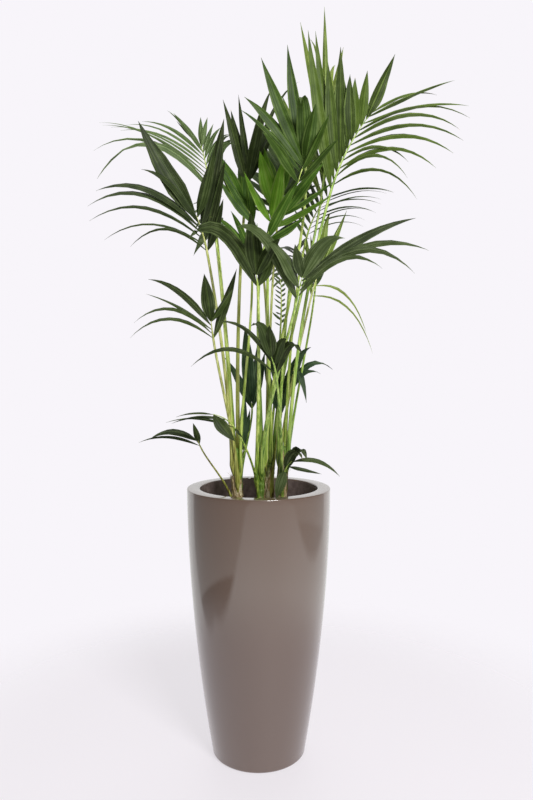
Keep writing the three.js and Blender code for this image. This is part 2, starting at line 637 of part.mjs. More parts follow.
Object.entries(FRONDS).forEach(([name, frond], number) => {
  const pieces = [ribs[name].solid];
  [frond.left, frond.right].forEach(([count], side) => {
    for (let index = 0; index < count; index++) {
      const solid = settleLeaflet(leafletPlan(frond, number, side, index, ribs[name]), name, placed);
      if (solid) {
        pieces.push(solid);
        placed.push({ owner: name, box: boxOf(solid), solid });
      }
    }
  });
  addMesh(`stalk_${name}`, stalks[name], 'stalk');
  addMesh(`frond_${name}`, largest(wasm.Manifold.union(pieces).simplify(SLIVER)), frond.green);
});

export default palm;
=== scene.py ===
# %% [markdown]
# # A kentia palm in its planter
#
# Four thin stems stand in a tall round planter. Long leaf stalks climb from them, and each stalk carries one
# feather frond: a rib with a row of leaflets on either side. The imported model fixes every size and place.
# This lesson dresses it: each plain solid gives way to a finer surface, grown from the same few numbers.

# %% Load the frame
import json
import math

import bmesh
import bpy
import numpy as np
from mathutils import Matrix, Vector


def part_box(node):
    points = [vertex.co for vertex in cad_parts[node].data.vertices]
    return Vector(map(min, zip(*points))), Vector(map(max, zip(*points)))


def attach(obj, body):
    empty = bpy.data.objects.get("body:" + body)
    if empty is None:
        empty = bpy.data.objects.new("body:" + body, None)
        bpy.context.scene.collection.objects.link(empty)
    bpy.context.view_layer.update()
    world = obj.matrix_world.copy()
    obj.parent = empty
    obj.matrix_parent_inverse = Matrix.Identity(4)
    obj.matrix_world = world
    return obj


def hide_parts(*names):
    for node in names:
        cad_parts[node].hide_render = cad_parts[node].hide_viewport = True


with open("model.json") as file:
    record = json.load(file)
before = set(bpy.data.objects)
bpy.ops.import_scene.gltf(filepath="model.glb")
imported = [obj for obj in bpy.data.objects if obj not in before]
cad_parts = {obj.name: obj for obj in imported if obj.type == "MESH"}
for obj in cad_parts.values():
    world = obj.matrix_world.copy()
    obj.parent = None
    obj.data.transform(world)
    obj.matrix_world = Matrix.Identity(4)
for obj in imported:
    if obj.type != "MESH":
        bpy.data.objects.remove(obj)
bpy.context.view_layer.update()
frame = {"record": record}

slots = {part["node"]: part["material_slot"] for part in frame["record"]["subparts"]}

# %% [markdown]
# ## The camera
#
# The palm is looked at from two metres away and from a little over a metre above the floor, with the lens
# tipped down slightly, so that the planter's foot and the highest tip both fit in an upright picture.

# %% Camera
LENS = 31.5                     # mm, with the sensor's 36 mm along the picture's height
EYE = (0.0, -1.95, 1.085)       # m
TIPPED_DOWN = 2.68              # degrees
TURNED_RIGHT = 0.64             # degrees


def in_scene(name, data):
    """A new object with its mesh, lamp or camera, in the scene."""
    made = bpy.data.objects.new(name, data)
    bpy.context.scene.collection.objects.link(made)
    return made


camera = in_scene("camera", bpy.data.cameras.new("camera"))
camera.data.lens = LENS
camera.location = EYE
camera.rotation_euler = (math.radians(90 - TIPPED_DOWN), 0, math.radians(-TURNED_RIGHT))
bpy.context.scene.camera = camera

# %% [markdown]
# ## Surfaces from arrays
#
# Every piece here is a grid of points, worked out as one array. A grid that wraps round is a pipe, a pot or a
# blade, and drawing its first and last ring into a point closes it. Sewing those points together afterwards
# turns the squashed squares at the ends into triangles, so no piece has a hole or a seam.

# %% Grids, and the mesh that gathers them
MM = 0.001                      # every size below is in millimetres
SEWN = 1e-6                     # m, points nearer than this become one
UP = np.array([0.0, 0.0, 1.0])


def round_about(angle):
    """The level direction at an angle from +X: x = cos a, y = sin a, z = 0."""
    return np.stack([np.cos(angle), np.sin(angle), 0 * angle], axis=-1)


def lattice(rows, columns, across=None):
    """The squares between neighbouring points of a grid whose last column joins the first again, and where
    each corner lies across and along it. across gives each column's place where they aren't evenly spaced."""
    across = np.linspace(0, 1, columns + 1) if across is None else across
    i, j = (k.ravel() for k in np.meshgrid(np.arange(rows - 1), np.arange(columns), indexing="ij"))
    corners = ((0, 0), (0, 1), (1, 1), (1, 0))
    faces = np.stack([(i + di) * columns + (j + dj) % columns for di, dj in corners], axis=1)
    places = [np.stack([across[j + dj], (i + di) / (rows - 1)], axis=1) for di, dj in corners]
    return faces, np.stack(places, axis=1)


def closed(rings):
    """A stack of rings with one more at either end, drawn into the ring's middle."""
    ends = rings[..., [0, -1], :, :].mean(axis=-2, keepdims=True) + 0 * rings[..., [0, -1], :, :]
    return np.concatenate([ends[..., :1, :, :], rings, ends[..., 1:, :, :]], axis=-3)


class Skin:
    """Gathers grids of points, in millimetres, and makes one piece of them."""

    def __init__(self):
        self.points, self.faces, self.places, self.finish = [], [], [], []
        self.count = 0

    def add(self, points, finish=0, across=None):
        """Adds one grid or many of the same size: points is (..., rows, columns, 3). finish is the material's
        number, for all the grids or for each grid's squares."""
        rows, columns = points.shape[-3:-1]
        grids = points.reshape(-1, rows * columns, 3)
        faces, places = lattice(rows, columns, across)
        starts = self.count + np.arange(len(grids)) * rows * columns
        self.points.append(grids.reshape(-1, 3))
        self.faces.append((faces[None] + starts[:, None, None]).reshape(-1, 4))
        self.places.append(np.broadcast_to(places, (len(grids), *places.shape)).reshape(-1, 4, 2))
        self.finish.append(np.broadcast_to(finish, (len(grids), len(faces))).ravel())
        self.count += grids.shape[0] * rows * columns

    def piece(self, name, materials, replaced=(), crease=40):
        """Makes the mesh, sews it, turns its faces outwards and shades it smooth up to the crease angle. It
        rides on the object's one body, in place of the solids that it stands for."""
        mesh = bpy.data.meshes.new(name)
        mesh.from_pydata((np.concatenate(self.points) * MM).tolist(), [], np.concatenate(self.faces).tolist())
        mesh.uv_layers.new(name="UVMap").data.foreach_set("uv", np.concatenate(self.places).ravel())
        for material in materials:
            mesh.materials.append(material)
        mesh.polygons.foreach_set("material_index", np.concatenate(self.finish).astype(np.int32))
        sewing = bmesh.new()
        sewing.from_mesh(mesh)
        bmesh.ops.remove_doubles(sewing, verts=sewing.verts, dist=SEWN)
        bmesh.ops.recalc_face_normals(sewing, faces=sewing.faces)
        sewing.to_mesh(mesh)
        sewing.free()
        mesh.shade_smooth()
        mesh.set_sharp_from_angle(angle=math.radians(crease))
        made = in_scene(name, mesh)
        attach(made, "root")
        if replaced:
            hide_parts(*replaced)
        print(f"{name}: {len(mesh.polygons)} faces")


# %% [markdown]
# ## Colours and nodes
#
# Colours are written as hex values, as on a paint card, and one function turns them into the linear numbers
# that light is reckoned in. Another adds a node, sets it and links it, so each finish below reads like a
# recipe.

# %% Colours, nodes and finishes
def colour(hex_value):
    """#rrggbb as linear red, green, blue and 1."""
    channels = np.array([int(hex_value[i:i + 2], 16) for i in (1, 3, 5)]) / 255
    linear = np.where(channels <= 0.04045, channels / 12.92, ((channels + 0.055) / 1.055) ** 2.4)
    return (*linear.tolist(), 1.0)


def set_up(node, settings):
    """Sets a node. A setting names one of its sockets or fields, and gives it a value or another node's
    output. The stops of a colour ramp are places and hex colours."""
    for name, value in settings.items():
        if isinstance(value, bpy.types.NodeSocket):
            node.id_data.links.new(node.inputs[name], value)
        elif name == "stops":
            for place, _ in value[2:]:
                node.color_ramp.elements.new(place)
            for element, (place, tone) in zip(node.color_ramp.elements, value):
                element.position, element.color = place, colour(tone)
        elif isinstance(name, int) or name in node.inputs:
            node.inputs[name].default_value = value
        else:
            setattr(node, name, value)
    return node


def add_node(tree, kind, settings=None):
    """A new node of a kind, set up."""
    return set_up(tree.nodes.new(kind), settings or {})


def finish(name, settings):
    """A material with one Principled shader, its settings given, and the node tree to add a pattern to."""
    material = bpy.data.materials.new(name)
    material.use_nodes = True
    return material, material.node_tree, set_up(material.node_tree.nodes["Principled BSDF"], settings)


# %% [markdown]
# Much of a potted plant is mottled or streaked: its colour wanders between a few tones, and it is rough in
# the same pattern. One noise on the piece's own coordinates drives both, so the dark spots are the hollows.
# A grain is given by its waves in a metre: 90 make a blotch every 11 mm, and 320 a crumb every 3 mm.

# %% Mottled and streaked finishes
def grain(tree, waves, detail, stretch):
    """A noise with so many waves in a metre. A stretch under 1 draws them out along Z."""
    space = add_node(tree, "ShaderNodeTexCoord")
    drawn = add_node(tree, "ShaderNodeMapping", {"Scale": (1, 1, stretch), "Vector": space.outputs["Object"]})
    settings = {"Scale": waves, "Detail": detail, "Vector": drawn.outputs["Vector"]}
    return add_node(tree, "ShaderNodeTexNoise", settings).outputs["Fac"]


def mottled(name, settings, waves, detail, stops, bump=None, stretch=1):
    """A finish whose colour follows a grain. So does its relief, if a bump's strength and depth are given."""
    material, tree, shader = finish(name, settings)
    noise = grain(tree, waves, detail, stretch)
    tones = add_node(tree, "ShaderNodeValToRGB", {"Fac": noise, "stops": stops})
    set_up(shader, {"Base Color": tones.outputs["Color"]})
    if bump:
        raised = add_node(tree, "ShaderNodeBump", {"Strength": bump[0], "Distance": bump[1], "Height": noise})
        set_up(shader, {"Normal": raised.outputs["Normal"]})
    return material


def changing_upwards(name, settings, noise, tones, border, bump, fray=None):
    """A streaked finish that passes from one set of tones to another between two heights, in metres. noise is
    its grain's waves, detail and stretch. fray, if given, is how far blotches shift the border, and their own
    waves and detail."""
    material, tree, shader = finish(name, settings)
    streaks = grain(tree, *noise)
    space = add_node(tree, "ShaderNodeTexCoord")
    height = add_node(tree, "ShaderNodeSeparateXYZ", {"Vector": space.outputs["Object"]}).outputs["Z"]
    if fray:
        settings = {"operation": "MULTIPLY_ADD", 0: grain(tree, *fray[1:], 1), 1: fray[0], 2: height}
        height = add_node(tree, "ShaderNodeMath", settings).outputs["Value"]
    share = add_node(tree, "ShaderNodeMapRange", {"From Min": border[0], "From Max": border[1],
                                                  "Value": height})
    low, high = (add_node(tree, "ShaderNodeValToRGB", {"Fac": streaks, "stops": stops}).outputs["Color"]
                 for stops in tones)
    both = add_node(tree, "ShaderNodeMix", {"data_type": "RGBA", "Factor": share.outputs["Result"],
                                            "A": low, "B": high})
    raised = add_node(tree, "ShaderNodeBump", {"Strength": bump[0], "Distance": bump[1], "Height": streaks})
    set_up(shader, {"Base Color": both.outputs["Result"], "Normal": raised.outputs["Normal"]})
    return material


# %% [markdown]
# ## The planter
#
# The planter is glass-fibre plastic, laid up in a mould and sprayed with a thick two-part lacquer. It swells
# gently from a narrow foot to a broad flat rim. A profile turned about the axis gives that shape exactly, and
# small arcs at the foot and the rim catch a thin line of light, as sprayed edges do.

# %% Planter shape
_, planter_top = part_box("planter")
HEIGHT = planter_top[2] / MM
RIM_RADIUS = planter_top[0] / MM
FOOT_RADIUS = 130
BELLY = 1.85                    # power of the curve from the foot to the rim
FOOT_EDGE = 8
RIM_EDGE = 3
RIM_WIDTH = 35.5
LIP_DEPTH = 100
LIP_SLOPE = 40
WALL = 6
FLOOR = 10
SEGMENTS = 144
SIDE_STEPS, INSIDE_STEPS, ARC_STEPS = 48, 12, 6
ARC_END = 10                    # degrees off level where an edge's arc meets the side


def planter_radius(z):
    """The outside's radius at a height: it grows fast above the foot and stands upright at the rim."""
    return RIM_RADIUS - (RIM_RADIUS - FOOT_RADIUS) * (1 - z / HEIGHT) ** BELLY


def arc(middle, radius, start, end):
    """Points [r, z] on a circle about middle, from one angle in degrees to another."""
    angle = np.radians(np.linspace(start, end, ARC_STEPS))
    return middle + radius * np.stack([np.cos(angle), np.sin(angle)], axis=1)


def turned_round(profile, segments=SEGMENTS):
    """A profile [r, z] carried round the axis: x = r cos a, y = r sin a."""
    around = round_about(np.linspace(0, 2 * np.pi, segments, endpoint=False))
    return profile[:, None, :1] * around + profile[:, None, 1:] * UP


lip_radius = RIM_RADIUS - RIM_WIDTH
side = np.linspace(FOOT_EDGE, HEIGHT - RIM_EDGE, SIDE_STEPS)
under_lip = np.linspace(HEIGHT - LIP_DEPTH - LIP_SLOPE, FLOOR, INSIDE_STEPS)
outer_profile = np.concatenate([
    [[0, 0]],
    arc((planter_radius(FOOT_EDGE) - FOOT_EDGE, FOOT_EDGE), FOOT_EDGE, -90, -ARC_END),
    np.stack([planter_radius(side), side], axis=1),
    arc((RIM_RADIUS - RIM_EDGE, HEIGHT - RIM_EDGE), RIM_EDGE, ARC_END, 90),
    arc((lip_radius + RIM_EDGE, HEIGHT - RIM_EDGE), RIM_EDGE, 90, 180),
])
inner_profile = np.concatenate([
    [[lip_radius, HEIGHT - LIP_DEPTH]],
    np.stack([planter_radius(under_lip) - WALL, under_lip], axis=1),
    [[0, FLOOR]],
])
profile = np.concatenate([outer_profile, inner_profile])
print("planter", round(2 * RIM_RADIUS), "x", round(HEIGHT), "mm, with", len(profile), "points in its profile")

# %% [markdown]
# Two-part polyurethane lacquer is a coloured coat under a clear one. It mirrors the room softly, because
# sprayed lacquer is never quite flat: the bump is the faint orange peel that it dries to. Its real waves are
# about 3 mm long, and they are drawn 14 mm long so that they show. The clear coat's IOR is higher than a real
# lacquer's 1.5, for the strong mirror of a polished one. Inside, below the rim, only a thin mist of lacquer
# reaches the bare laminate: it is greyer and dull, and the chopped glass mat shows in it as short blotches.

# %% Lacquer
PEEL_WAVE, PEEL_DEPTH = 0.014, 0.0004   # m

lacquer, tree, shader = finish("sprayed_lacquer", {
    "Base Color": colour("#654e40"), "Roughness": 0.35, "Coat Weight": 1, "Coat Roughness": 0.03,
    "Coat IOR": 1.8,
})
peel = grain(tree, 1 / PEEL_WAVE, 2, 1)
raised = add_node(tree, "ShaderNodeBump", {"Strength": 0.05, "Distance": PEEL_DEPTH, "Height": peel})
set_up(shader, {"Normal": raised.outputs["Normal"], "Coat Normal": raised.outputs["Normal"]})
laminate = mottled("bare_glass_fibre_laminate", {"Roughness": 0.6, "IOR": 1.5}, 90, 5,
                   [(0.35, "#675854"), (0.65, "#7c6d69")], bump=(0.4, 0.0008))

planter = Skin()
row = np.repeat(np.arange(len(profile) - 1), SEGMENTS)
planter.add(turned_round(profile), finish=(row >= len(outer_profile) - 1).astype(int))
planter.piece("planter_shell", [lacquer, laminate], ["planter"])

# %% [markdown]
# ## The potting mix
#
# A pot this tall is filled to a hand's width under its rim with a dark, moist mix of peat and bark. A disc
# with soft lumps carries a few hundred flat bark chips. Each chip is a small closed stone shape of a few
# faces, turned and squashed by a seeded draw.

# %% Potting mix and bark chips
SOIL_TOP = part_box("potting_mix")[1][2] / MM
SOIL_DEEP = 18                  # how much of the filling is worth a surface
LUMP = 2.2                      # height of the lumps in the middle
LUMPS_END = 200                 # where they would run out, from the axis
WAVES = (                       # the lumps' waves: radians in a millimetre, way and start
    (0.07, 0.3, 0.4), (0.11, 1.9, 2.1), (0.19, 4.0, 1.2), (0.29, 2.6, 5.0),
)
SOIL_CLEAR = 0.4                # between the mix and the planter's lip
SOIL_RINGS = 30
CHIPS = 520
CHIP_SIZES = ([4, 2.5, 1.2], [11, 6, 2.6])      # half length, width and height: least and most
CHIP_CLEAR, CHIP_UP = 14, 0.6   # from the planter's lip, and above the ground
draw = np.random.default_rng(7)


def lumps(x, y):
    """Soft uneven ground: slanting waves of different length laid over each other, lower towards the wall."""
    waves = sum(np.sin(k * (x * np.cos(a) + y * np.sin(a)) + p) for k, a, p in WAVES) / len(WAVES)
    return LUMP * waves * (1 - np.hypot(x, y) / LUMPS_END)


soil_radius = lip_radius - SOIL_CLEAR
top_profile = np.stack([np.linspace(soil_radius, 0, SOIL_RINGS), np.full(SOIL_RINGS, SOIL_TOP)], axis=1)
soil_profile = np.concatenate([[[0, SOIL_TOP - SOIL_DEEP], [soil_radius, SOIL_TOP - SOIL_DEEP]], top_profile])
soil_points = turned_round(soil_profile, SEGMENTS // 2)
soil_points[3:, :, 2] += lumps(soil_points[3:, :, 0], soil_points[3:, :, 1])


def chip_shapes(count):
    """Flat six-sided stones: an upper and a lower ring between two poles, stretched, turned and scattered."""
    ring = round_about(np.linspace(0, 2 * np.pi, 6, endpoint=False))
    stone = closed(np.stack([ring * 0.9 - 0.5 * UP, ring * 0.75 + 0.5 * UP]))
    stone = stone * draw.uniform(0.7, 1.2, (count, *stone.shape[:2], 1))
    stone[:, [0, -1]] = stone[:, [0, -1]].mean(axis=2, keepdims=True)
    stone = stone * draw.uniform(*CHIP_SIZES, (count, 3))[:, None, None]
    turn = draw.uniform(0, 2 * np.pi, (count, 1, 1))
    x = stone[..., 0] * np.cos(turn) - stone[..., 1] * np.sin(turn)
    y = stone[..., 0] * np.sin(turn) + stone[..., 1] * np.cos(turn)
    z = stone[..., 2] + x * draw.uniform(-0.3, 0.3, (count, 1, 1))
    far = (soil_radius - CHIP_CLEAR) * np.sqrt(draw.uniform(0, 1, count))
    place = round_about(draw.uniform(0, 2 * np.pi, count)) * far[:, None]
    place[:, 2] = SOIL_TOP + lumps(place[:, 0], place[:, 1]) + CHIP_UP
    return np.stack([x, y, z], axis=-1) + place[:, None, None]


mix = mottled("moist_potting_mix", {"Roughness": 0.92, "IOR": 1.4}, 320, 8,
              [(0.3, "#1b1410"), (0.7, "#4a3b2f")], bump=(0.9, 0.002))
bark = mottled("pine_bark_chip", {"Roughness": 0.85, "IOR": 1.45}, 180, 4,
               [(0.3, "#3a281c"), (0.7, "#75553b")])
soil = Skin()
soil.add(soil_points)
soil.piece("potting_mix_surface", [mix], ["potting_mix"])
chips = Skin()
chips.add(chip_shapes(CHIPS))
chips.piece("bark_chips", [bark], crease=25)

# %% [markdown]
# ## The plant's numbers
#
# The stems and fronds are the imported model's own, in millimetres. Each frond names the stem that it grows
# from and the height where its stalk leaves it, the neck where the leaflets start, the rib's tip, and the
# stalk's radius at its foot and at the neck. Each side has a number of leaflets and a few keys, evenly spaced
# along the rib, and the leaflets between the keys are worked out. A key is: slope in the front view (0 right,
# 90 up, 180 left), reach towards the front in degrees, length, droop and width.

# %% Stems
TRUNKS = {
    "left": dict(foot=(-58, -10), top=(-64, -12, 862), radius=(15, 10)),
    "centre": dict(foot=(4, 0), top=(9, 2, 910), radius=(12, 6.5)),
    "right": dict(foot=(62, -12), top=(68, -14, 868), radius=(14, 9)),
    "back": dict(foot=(30, 52), top=(34, 60, 862), radius=(12, 8)),
}
for trunk in TRUNKS.values():
    trunk["foot"], trunk["top"] = np.array([*trunk["foot"], SOIL_TOP]), np.array(trunk["top"], float)

# %% Fronds
PARTS = ("trunk", "rise", "neck", "tip", "radius", "left", "right")
FROND_NUMBERS = {               # in the order of the parts
    "right_high": ("right", 820, (197, -20, 1565), (314, 0, 1788), (6, 4),
        (11, (99, 5, 412, 0, 44), (97, 3, 392, 0, 38), (96, 5, 290, 0, 44), (90, 5, 305, 0.3, 38),
         (96, 5, 195, 0, 48), (96, 2, 222, 0, 40), (94, 5, 170, 0, 44), (92, 5, 150, 0, 36),
         (84, 5, 145, 0.2, 28), (67, 5, 180, 0, 30), (64, 8, 102, 0, 22)),
        (11, (32, 22, 280, 2, 22), (43, 28, 250, 1.9, 20), (31, 20, 288, 1.55, 26),
         (32, 22, 210, 1.55, 22), (25, 18, 305, 1.3, 26), (27, 15, 320, 1.25, 26),
         (33, 14, 310, 1.25, 30), (30, 12, 308, 1.15, 26), (20, 10, 288, 0.6, 24), (27, 8, 244, 0.3, 28),
         (35, 5, 190, 0.85, 22))),
    "centre_high": ("centre", 830, (126, -55, 1612), (102, -112, 1562), (5.5, 3.5),
        (5, (99, 5, 318, 0, 46), (115, 5, 288, 0, 46), (124, 8, 232, 0.55, 42), (127, 10, 220, 0.6, 36),
         (121, 20, 160, 0.6, 40)),
        (4, (93, 12, 230, 1.4, 46), (80, 20, 150, 0, 44), (63, 28, 155, 0.2, 40), (45, 35, 155, 0.2, 36))),
    "left_front": ("left", 815, (-135, -90, 1385), (-160, -124, 1475), (5.5, 3.5),
        (7, (140, 30, 255, 1.5, 17), (149, 26, 290, 1.2, 16), (142, 24, 332, 1.3, 17),
         (137, 22, 335, 1.3, 20), (135, 20, 308, 1.1, 24), (120, 15, 203, 0.95, 34), (121.5, 8, 275, 0, 70)),
        (4, (70, 20, 140, 0, 34), (77, 12, 204, 0.3, 42), (78, 5, 285, 0, 48), (76, 5, 180, 0, 40))),
    "right_front": ("centre", 800, (97, -150, 1255), (110, -180, 1312), (6, 3.5),
        (3, (110, 15, 265, 1.1, 48), (113, 18, 158, 0.85, 44), (104, 10, 85, 0, 34)),
        (5, (54, 20, 275, 1.45, 26), (49, 18, 353, 1.5, 26), (40, 15, 354, 1.1, 28),
         (40, 5, 327, 0.55, 34), (67, 8, 161, 1.15, 48))),
    "centre_front": ("centre", 770, (-2, -160, 1286), (-6, -178, 1318), (5.5, 3.5),
        (2, (112, 18, 276, 1.35, 50), (95, 8, 155, 0, 48)),
        (2, (69, 15, 120, 0.2, 46), (66, 20, 112, 0.7, 40))),
    "mid_left": ("left", 770, (-119, -96, 1156), (-124, -120, 1206), (5, 3.2),
        (5, (141, 25, 250, 1.45, 16), (134, 22, 243, 1.4, 15), (142, 12, 192, 0.45, 16),
         (126, 10, 204, 0.8, 24), (97, 0, 122, 0, 38)),
        (2, (70, 0, 192, 0, 28), (56, 5, 104, 0, 24))),
    "mid_right": ("right", 760, (46, -112, 1062), (32, -142, 1112), (5, 3.2),
        (3, (136, 25, 287, 1.4, 17), (120, 15, 212, 1.05, 19), (100, 5, 115, 1.2, 40)),
        (3, (76, 10, 140, 1.6, 30), (79, 10, 90, 1, 34), (93, 10, 82, 0, 34))),
    "left_back": ("left", 835, (-138, 82, 1585), (-174, 170, 1752), (5, 3),
        (7, (126, 6, 404, 1.95, 30), (136, 5, 354, 0.8, 15), (140, 2, 329, 0.7, 13),
         (139, 0, 284, 0.8, 14), (135, -3, 245, 0.8, 16), (118, -8, 155, 0.45, 18), (135, -5, 100, 0, 18)),
        (5, (75, 10, 165, 1.25, 22), (73, 5, 145, 1.1, 20), (72, 0, 120, 1, 18), (76, -8, 90, 0.4, 18),
         (91, -15, 100, 0.5, 16))),
    "centre_left_up": ("left", 840, (-34, 40, 1585), (-26, 58, 1622), (6, 3.5),
        (3, (104, 0, 250, 0.3, 30), (103, 0, 208, 0, 30), (97, 5, 222, 0, 22)),
        (4, (81, 0, 274, 0.7, 36), (68, -5, 218, 0.5, 28), (74, -5, 353, 0.8, 18), (72, -10, 214, 0, 32))),
    "centre_right_rise": ("centre", 880, (18, -38, 1422), (66, -52, 1495), (5, 3.2),
        (2, (64, 15, 181, 0.35, 36), (56, 10, 173, 0.35, 40)),
        (3, (28, 20, 120, 0, 46), (25, 15, 180, 0, 46), (31, 15, 160, 0, 38))),
    "centre_bright": ("back", 840, (34, -8, 1478), (60, 4, 1562), (5.5, 3.5),
        (3, (121, 8, 150, 0, 38), (105, 10, 152, 0, 48), (109, 10, 130, 0, 48)),
        (2, (80, 10, 165, 0, 42), (80, 10, 125, 0.6, 38))),
    "centre_left_arch": ("back", 815, (-10, 10, 1476), (-52, 18, 1545), (5, 3.2),
        (3, (130, 0, 165, 0, 34), (110, -12, 165, 0.2, 46)),
        (3, (97, -20, 142, 0.7, 24), (91, -20, 180, 0.5, 26))),
    "top_back": ("back", 850, (182, 108, 1580), (198, 150, 1806), (6, 3.5),
        (5, (110, -10, 325, 0, 32), (106, -10, 290, 0.5, 32), (103, -10, 255, 0.85, 32),
         (103, 0, 338, 0, 24), (95, 0, 240, 0.95, 22)),
        (5, (84, -10, 378, 0, 34), (72, -15, 300, 0.5, 30), (81, -10, 350, 0.45, 30),
         (86, -5, 256, 1, 26), (91, 0, 345, 0, 20))),
    "right_mid_back": ("right", 840, (138, 100, 1456), (209, 170, 1597), (4.5, 3),
        (5, (118, -30, 90, 0.2, 16), (100, -20, 130, 0.2, 16)),
        (6, (36, -15, 200, 0.9, 9), (30, -10, 200, 0.8, 9), (25, -10, 215, 0.7, 9))),
    "right_back": ("right", 790, (150, 70, 1284), (182, 92, 1378), (4.5, 3),
        (3, (93, -10, 172, 0.55, 18), (88, -10, 140, 0.6, 20)),
        (4, (5, 5, 262, 3.5, 16), (8, 0, 225, 3.4, 15), (67, -5, 212, 0, 26), (84, -10, 180, 0.9, 22))),
    "right_back_low": ("right", 760, (165, 110, 1310), (172, 210, 1390), (4, 2.8),
        (4, (110, -55, 170, 0.4, 22), (100, -50, 150, 0.3, 20)),
        (4, (70, -62, 180, 0.6, 22), (78, -55, 160, 0.4, 20))),
    "mid_back": ("back", 780, (64, 96, 1200), (66, 170, 1350), (4, 2.8),
        (5, (130, -60, 62, 0.2, 11), (120, -60, 62, 0.2, 11)),
        (5, (52, -60, 55, 0.2, 11), (62, -60, 55, 0.2, 11))),
    "back_far": ("back", 780, (60, 215, 1545), (100, 345, 1705), (4.8, 3),
        (6, (140, -35, 200, 0.5, 38), (108, -25, 220, 0.2, 34)),
        (6, (45, -35, 210, 0.5, 38), (78, -25, 220, 0.2, 34))),
    "back_right": ("right", 790, (95, 190, 1345), (122, 330, 1460), (5, 3),
        (5, (140, -60, 200, 0.8, 26), (120, -60, 180, 0.5, 22)),
        (5, (60, -60, 200, 0.9, 26), (65, -60, 190, 0.5, 22))),
    "back_left": ("left", 790, (-125, 170, 1480), (-152, 330, 1600), (5, 3),
        (5, (155, -60, 200, 1, 26), (120, -60, 180, 0.5, 22)),
        (5, (85, -60, 190, 0.9, 24), (80, -60, 180, 0.5, 22))),
    "low_back_right": ("back", 760, (64, 66, 942), (80, 84, 1000), (4.5, 3),
        (2, (108, 5, 160, 0, 32), (108, 5, 165, 0, 42)),
        (4, (82, 12, 254, 2.15, 28), (79, 5, 204, 0.95, 38), (68, 5, 212, 1.3, 24), (65, 5, 143, 1.25, 22))),
    "low_back_left": ("left", 750, (-19, 70, 960), (-22, 78, 985), (4, 2.8),
        (2, (111, 0, 165, 0.5, 28), (95, 5, 222, 0, 40)),
        (2, (78, 5, 165, 0, 28), (84, 0, 195, 0, 24))),
    "low_left_arch": ("centre", 700, (-60, -140, 925), (-115, -190, 967), (3.5, 2.4),
        (3, (157, 5, 180, 0.75, 12), (166, 8, 140, 0.7, 14), (170, 10, 96, 0.6, 9)),
        (2, (-52, 10, 34, 0, 9), (-51, 10, 86, 0, 38))),
    "low_left_small": ("left", 695, (-155, -80, 870), (-162, -90, 890), (3, 2.2),
        (2, (153, 12, 165, 0.9, 12), (146, 15, 140, 1.2, 24)),
        (1, (105, 0, 58, 0.3, 18))),
    "low_right": ("right", 720, (70, -64, 800), (88, -78, 832), (3.5, 2.4),
        (2, (75, 20, 105, 1.4, 32), (73, 15, 85, 1.9, 26)),
        (3, (-110, 15, 78, 0.3, 32), (-10, 15, 95, 0.1, 15), (19, 20, 146, 1.35, 15))),
    "centre_low_left": ("left", 800, (-18, -60, 1366), (-24, -68, 1398), (4.5, 3),
        (2, (118, 10, 165, 0.9, 20), (112, 10, 110, 0.4, 20)),
        (1, (80, 0, 90, 0, 20))),
    "low_back_small": ("left", 700, (-45, 40, 835), (-44, 44, 860), (3, 2.2),
        (1, (89, 0, 175, 0, 24)),
        (1, (80, 0, 120, 0, 18))),
}
FRONDS = {name: dict(zip(PARTS, numbers)) for name, numbers in FROND_NUMBERS.items()}
for frond in FRONDS.values():
    frond["neck"], frond["tip"] = np.array([frond["neck"], frond["tip"]], float)
# Fronds that carry more leaflets than their plain solid does, on the left and on the right.
FULLER = {
    "left_back": (11, 8), "right_mid_back": (8, 9), "mid_back": (10, 10), "back_far": (10, 10),
    "back_right": (8, 8), "back_left": (8, 8), "centre_left_arch": (5, 5), "right_back_low": (7, 7),
}
print(len(FRONDS), "fronds on", len(TRUNKS), "stems")

# %% [markdown]
# ## The growing rule
#
# The same rule that shaped the solids is written again here, so that every fine leaflet grows where its plain
# one did. Chance is a hash of whole numbers and so never changes. A direction is given by its slope in the
# front view and its reach to the front, because that is how an eye compares a plant.

# %% Directions, chance and curves
def unit(v):
    """v at length 1."""
    return v / np.linalg.norm(v, axis=-1, keepdims=True)


def chance(a, b, c, d):
    """The same fraction 0..1 each time for the same four whole numbers."""
    value = math.sin((a + 1) * 12.9898 + (b + 1) * 78.233 + (c + 1) * 37.719 + (d + 1) * 4.581) * 43758.5453
    return value - math.floor(value)


def heading(slope, reach):
    """x = cos slope cos reach, y = -sin reach, z = sin slope cos reach."""
    a, b = np.radians(slope), np.radians(reach)
    return np.stack([np.cos(a) * np.cos(b), -np.sin(b), np.sin(a) * np.cos(b)], axis=-1)


def swung(v, axis, degrees):
    """v turned about a unit axis: what lies along the axis stays, and the rest goes round it."""
    a = np.radians(degrees)
    along = axis * np.sum(v * axis, axis=-1, keepdims=True)
    return along + (v - along) * np.cos(a) + np.cross(axis, v) * np.sin(a)


def bezier(corners, t):
    """Points of the curve that its corners pull on, and its direction there."""
    t = np.asarray(t, float)[..., None]
    corners = np.asarray(corners, float)

    def blend(points):
        n = len(points) - 1
        return sum(math.comb(n, i) * t ** i * (1 - t) ** (n - i) * p for i, p in enumerate(points))

    return blend(corners), unit(blend(np.diff(corners, axis=0)))


# %% [markdown]
# A stalk leaves its stem along the stem's side and bends out to its neck. Its foot is tried straight under
# the neck first, and then turned round the stem and lifted until the stalk clears all others.

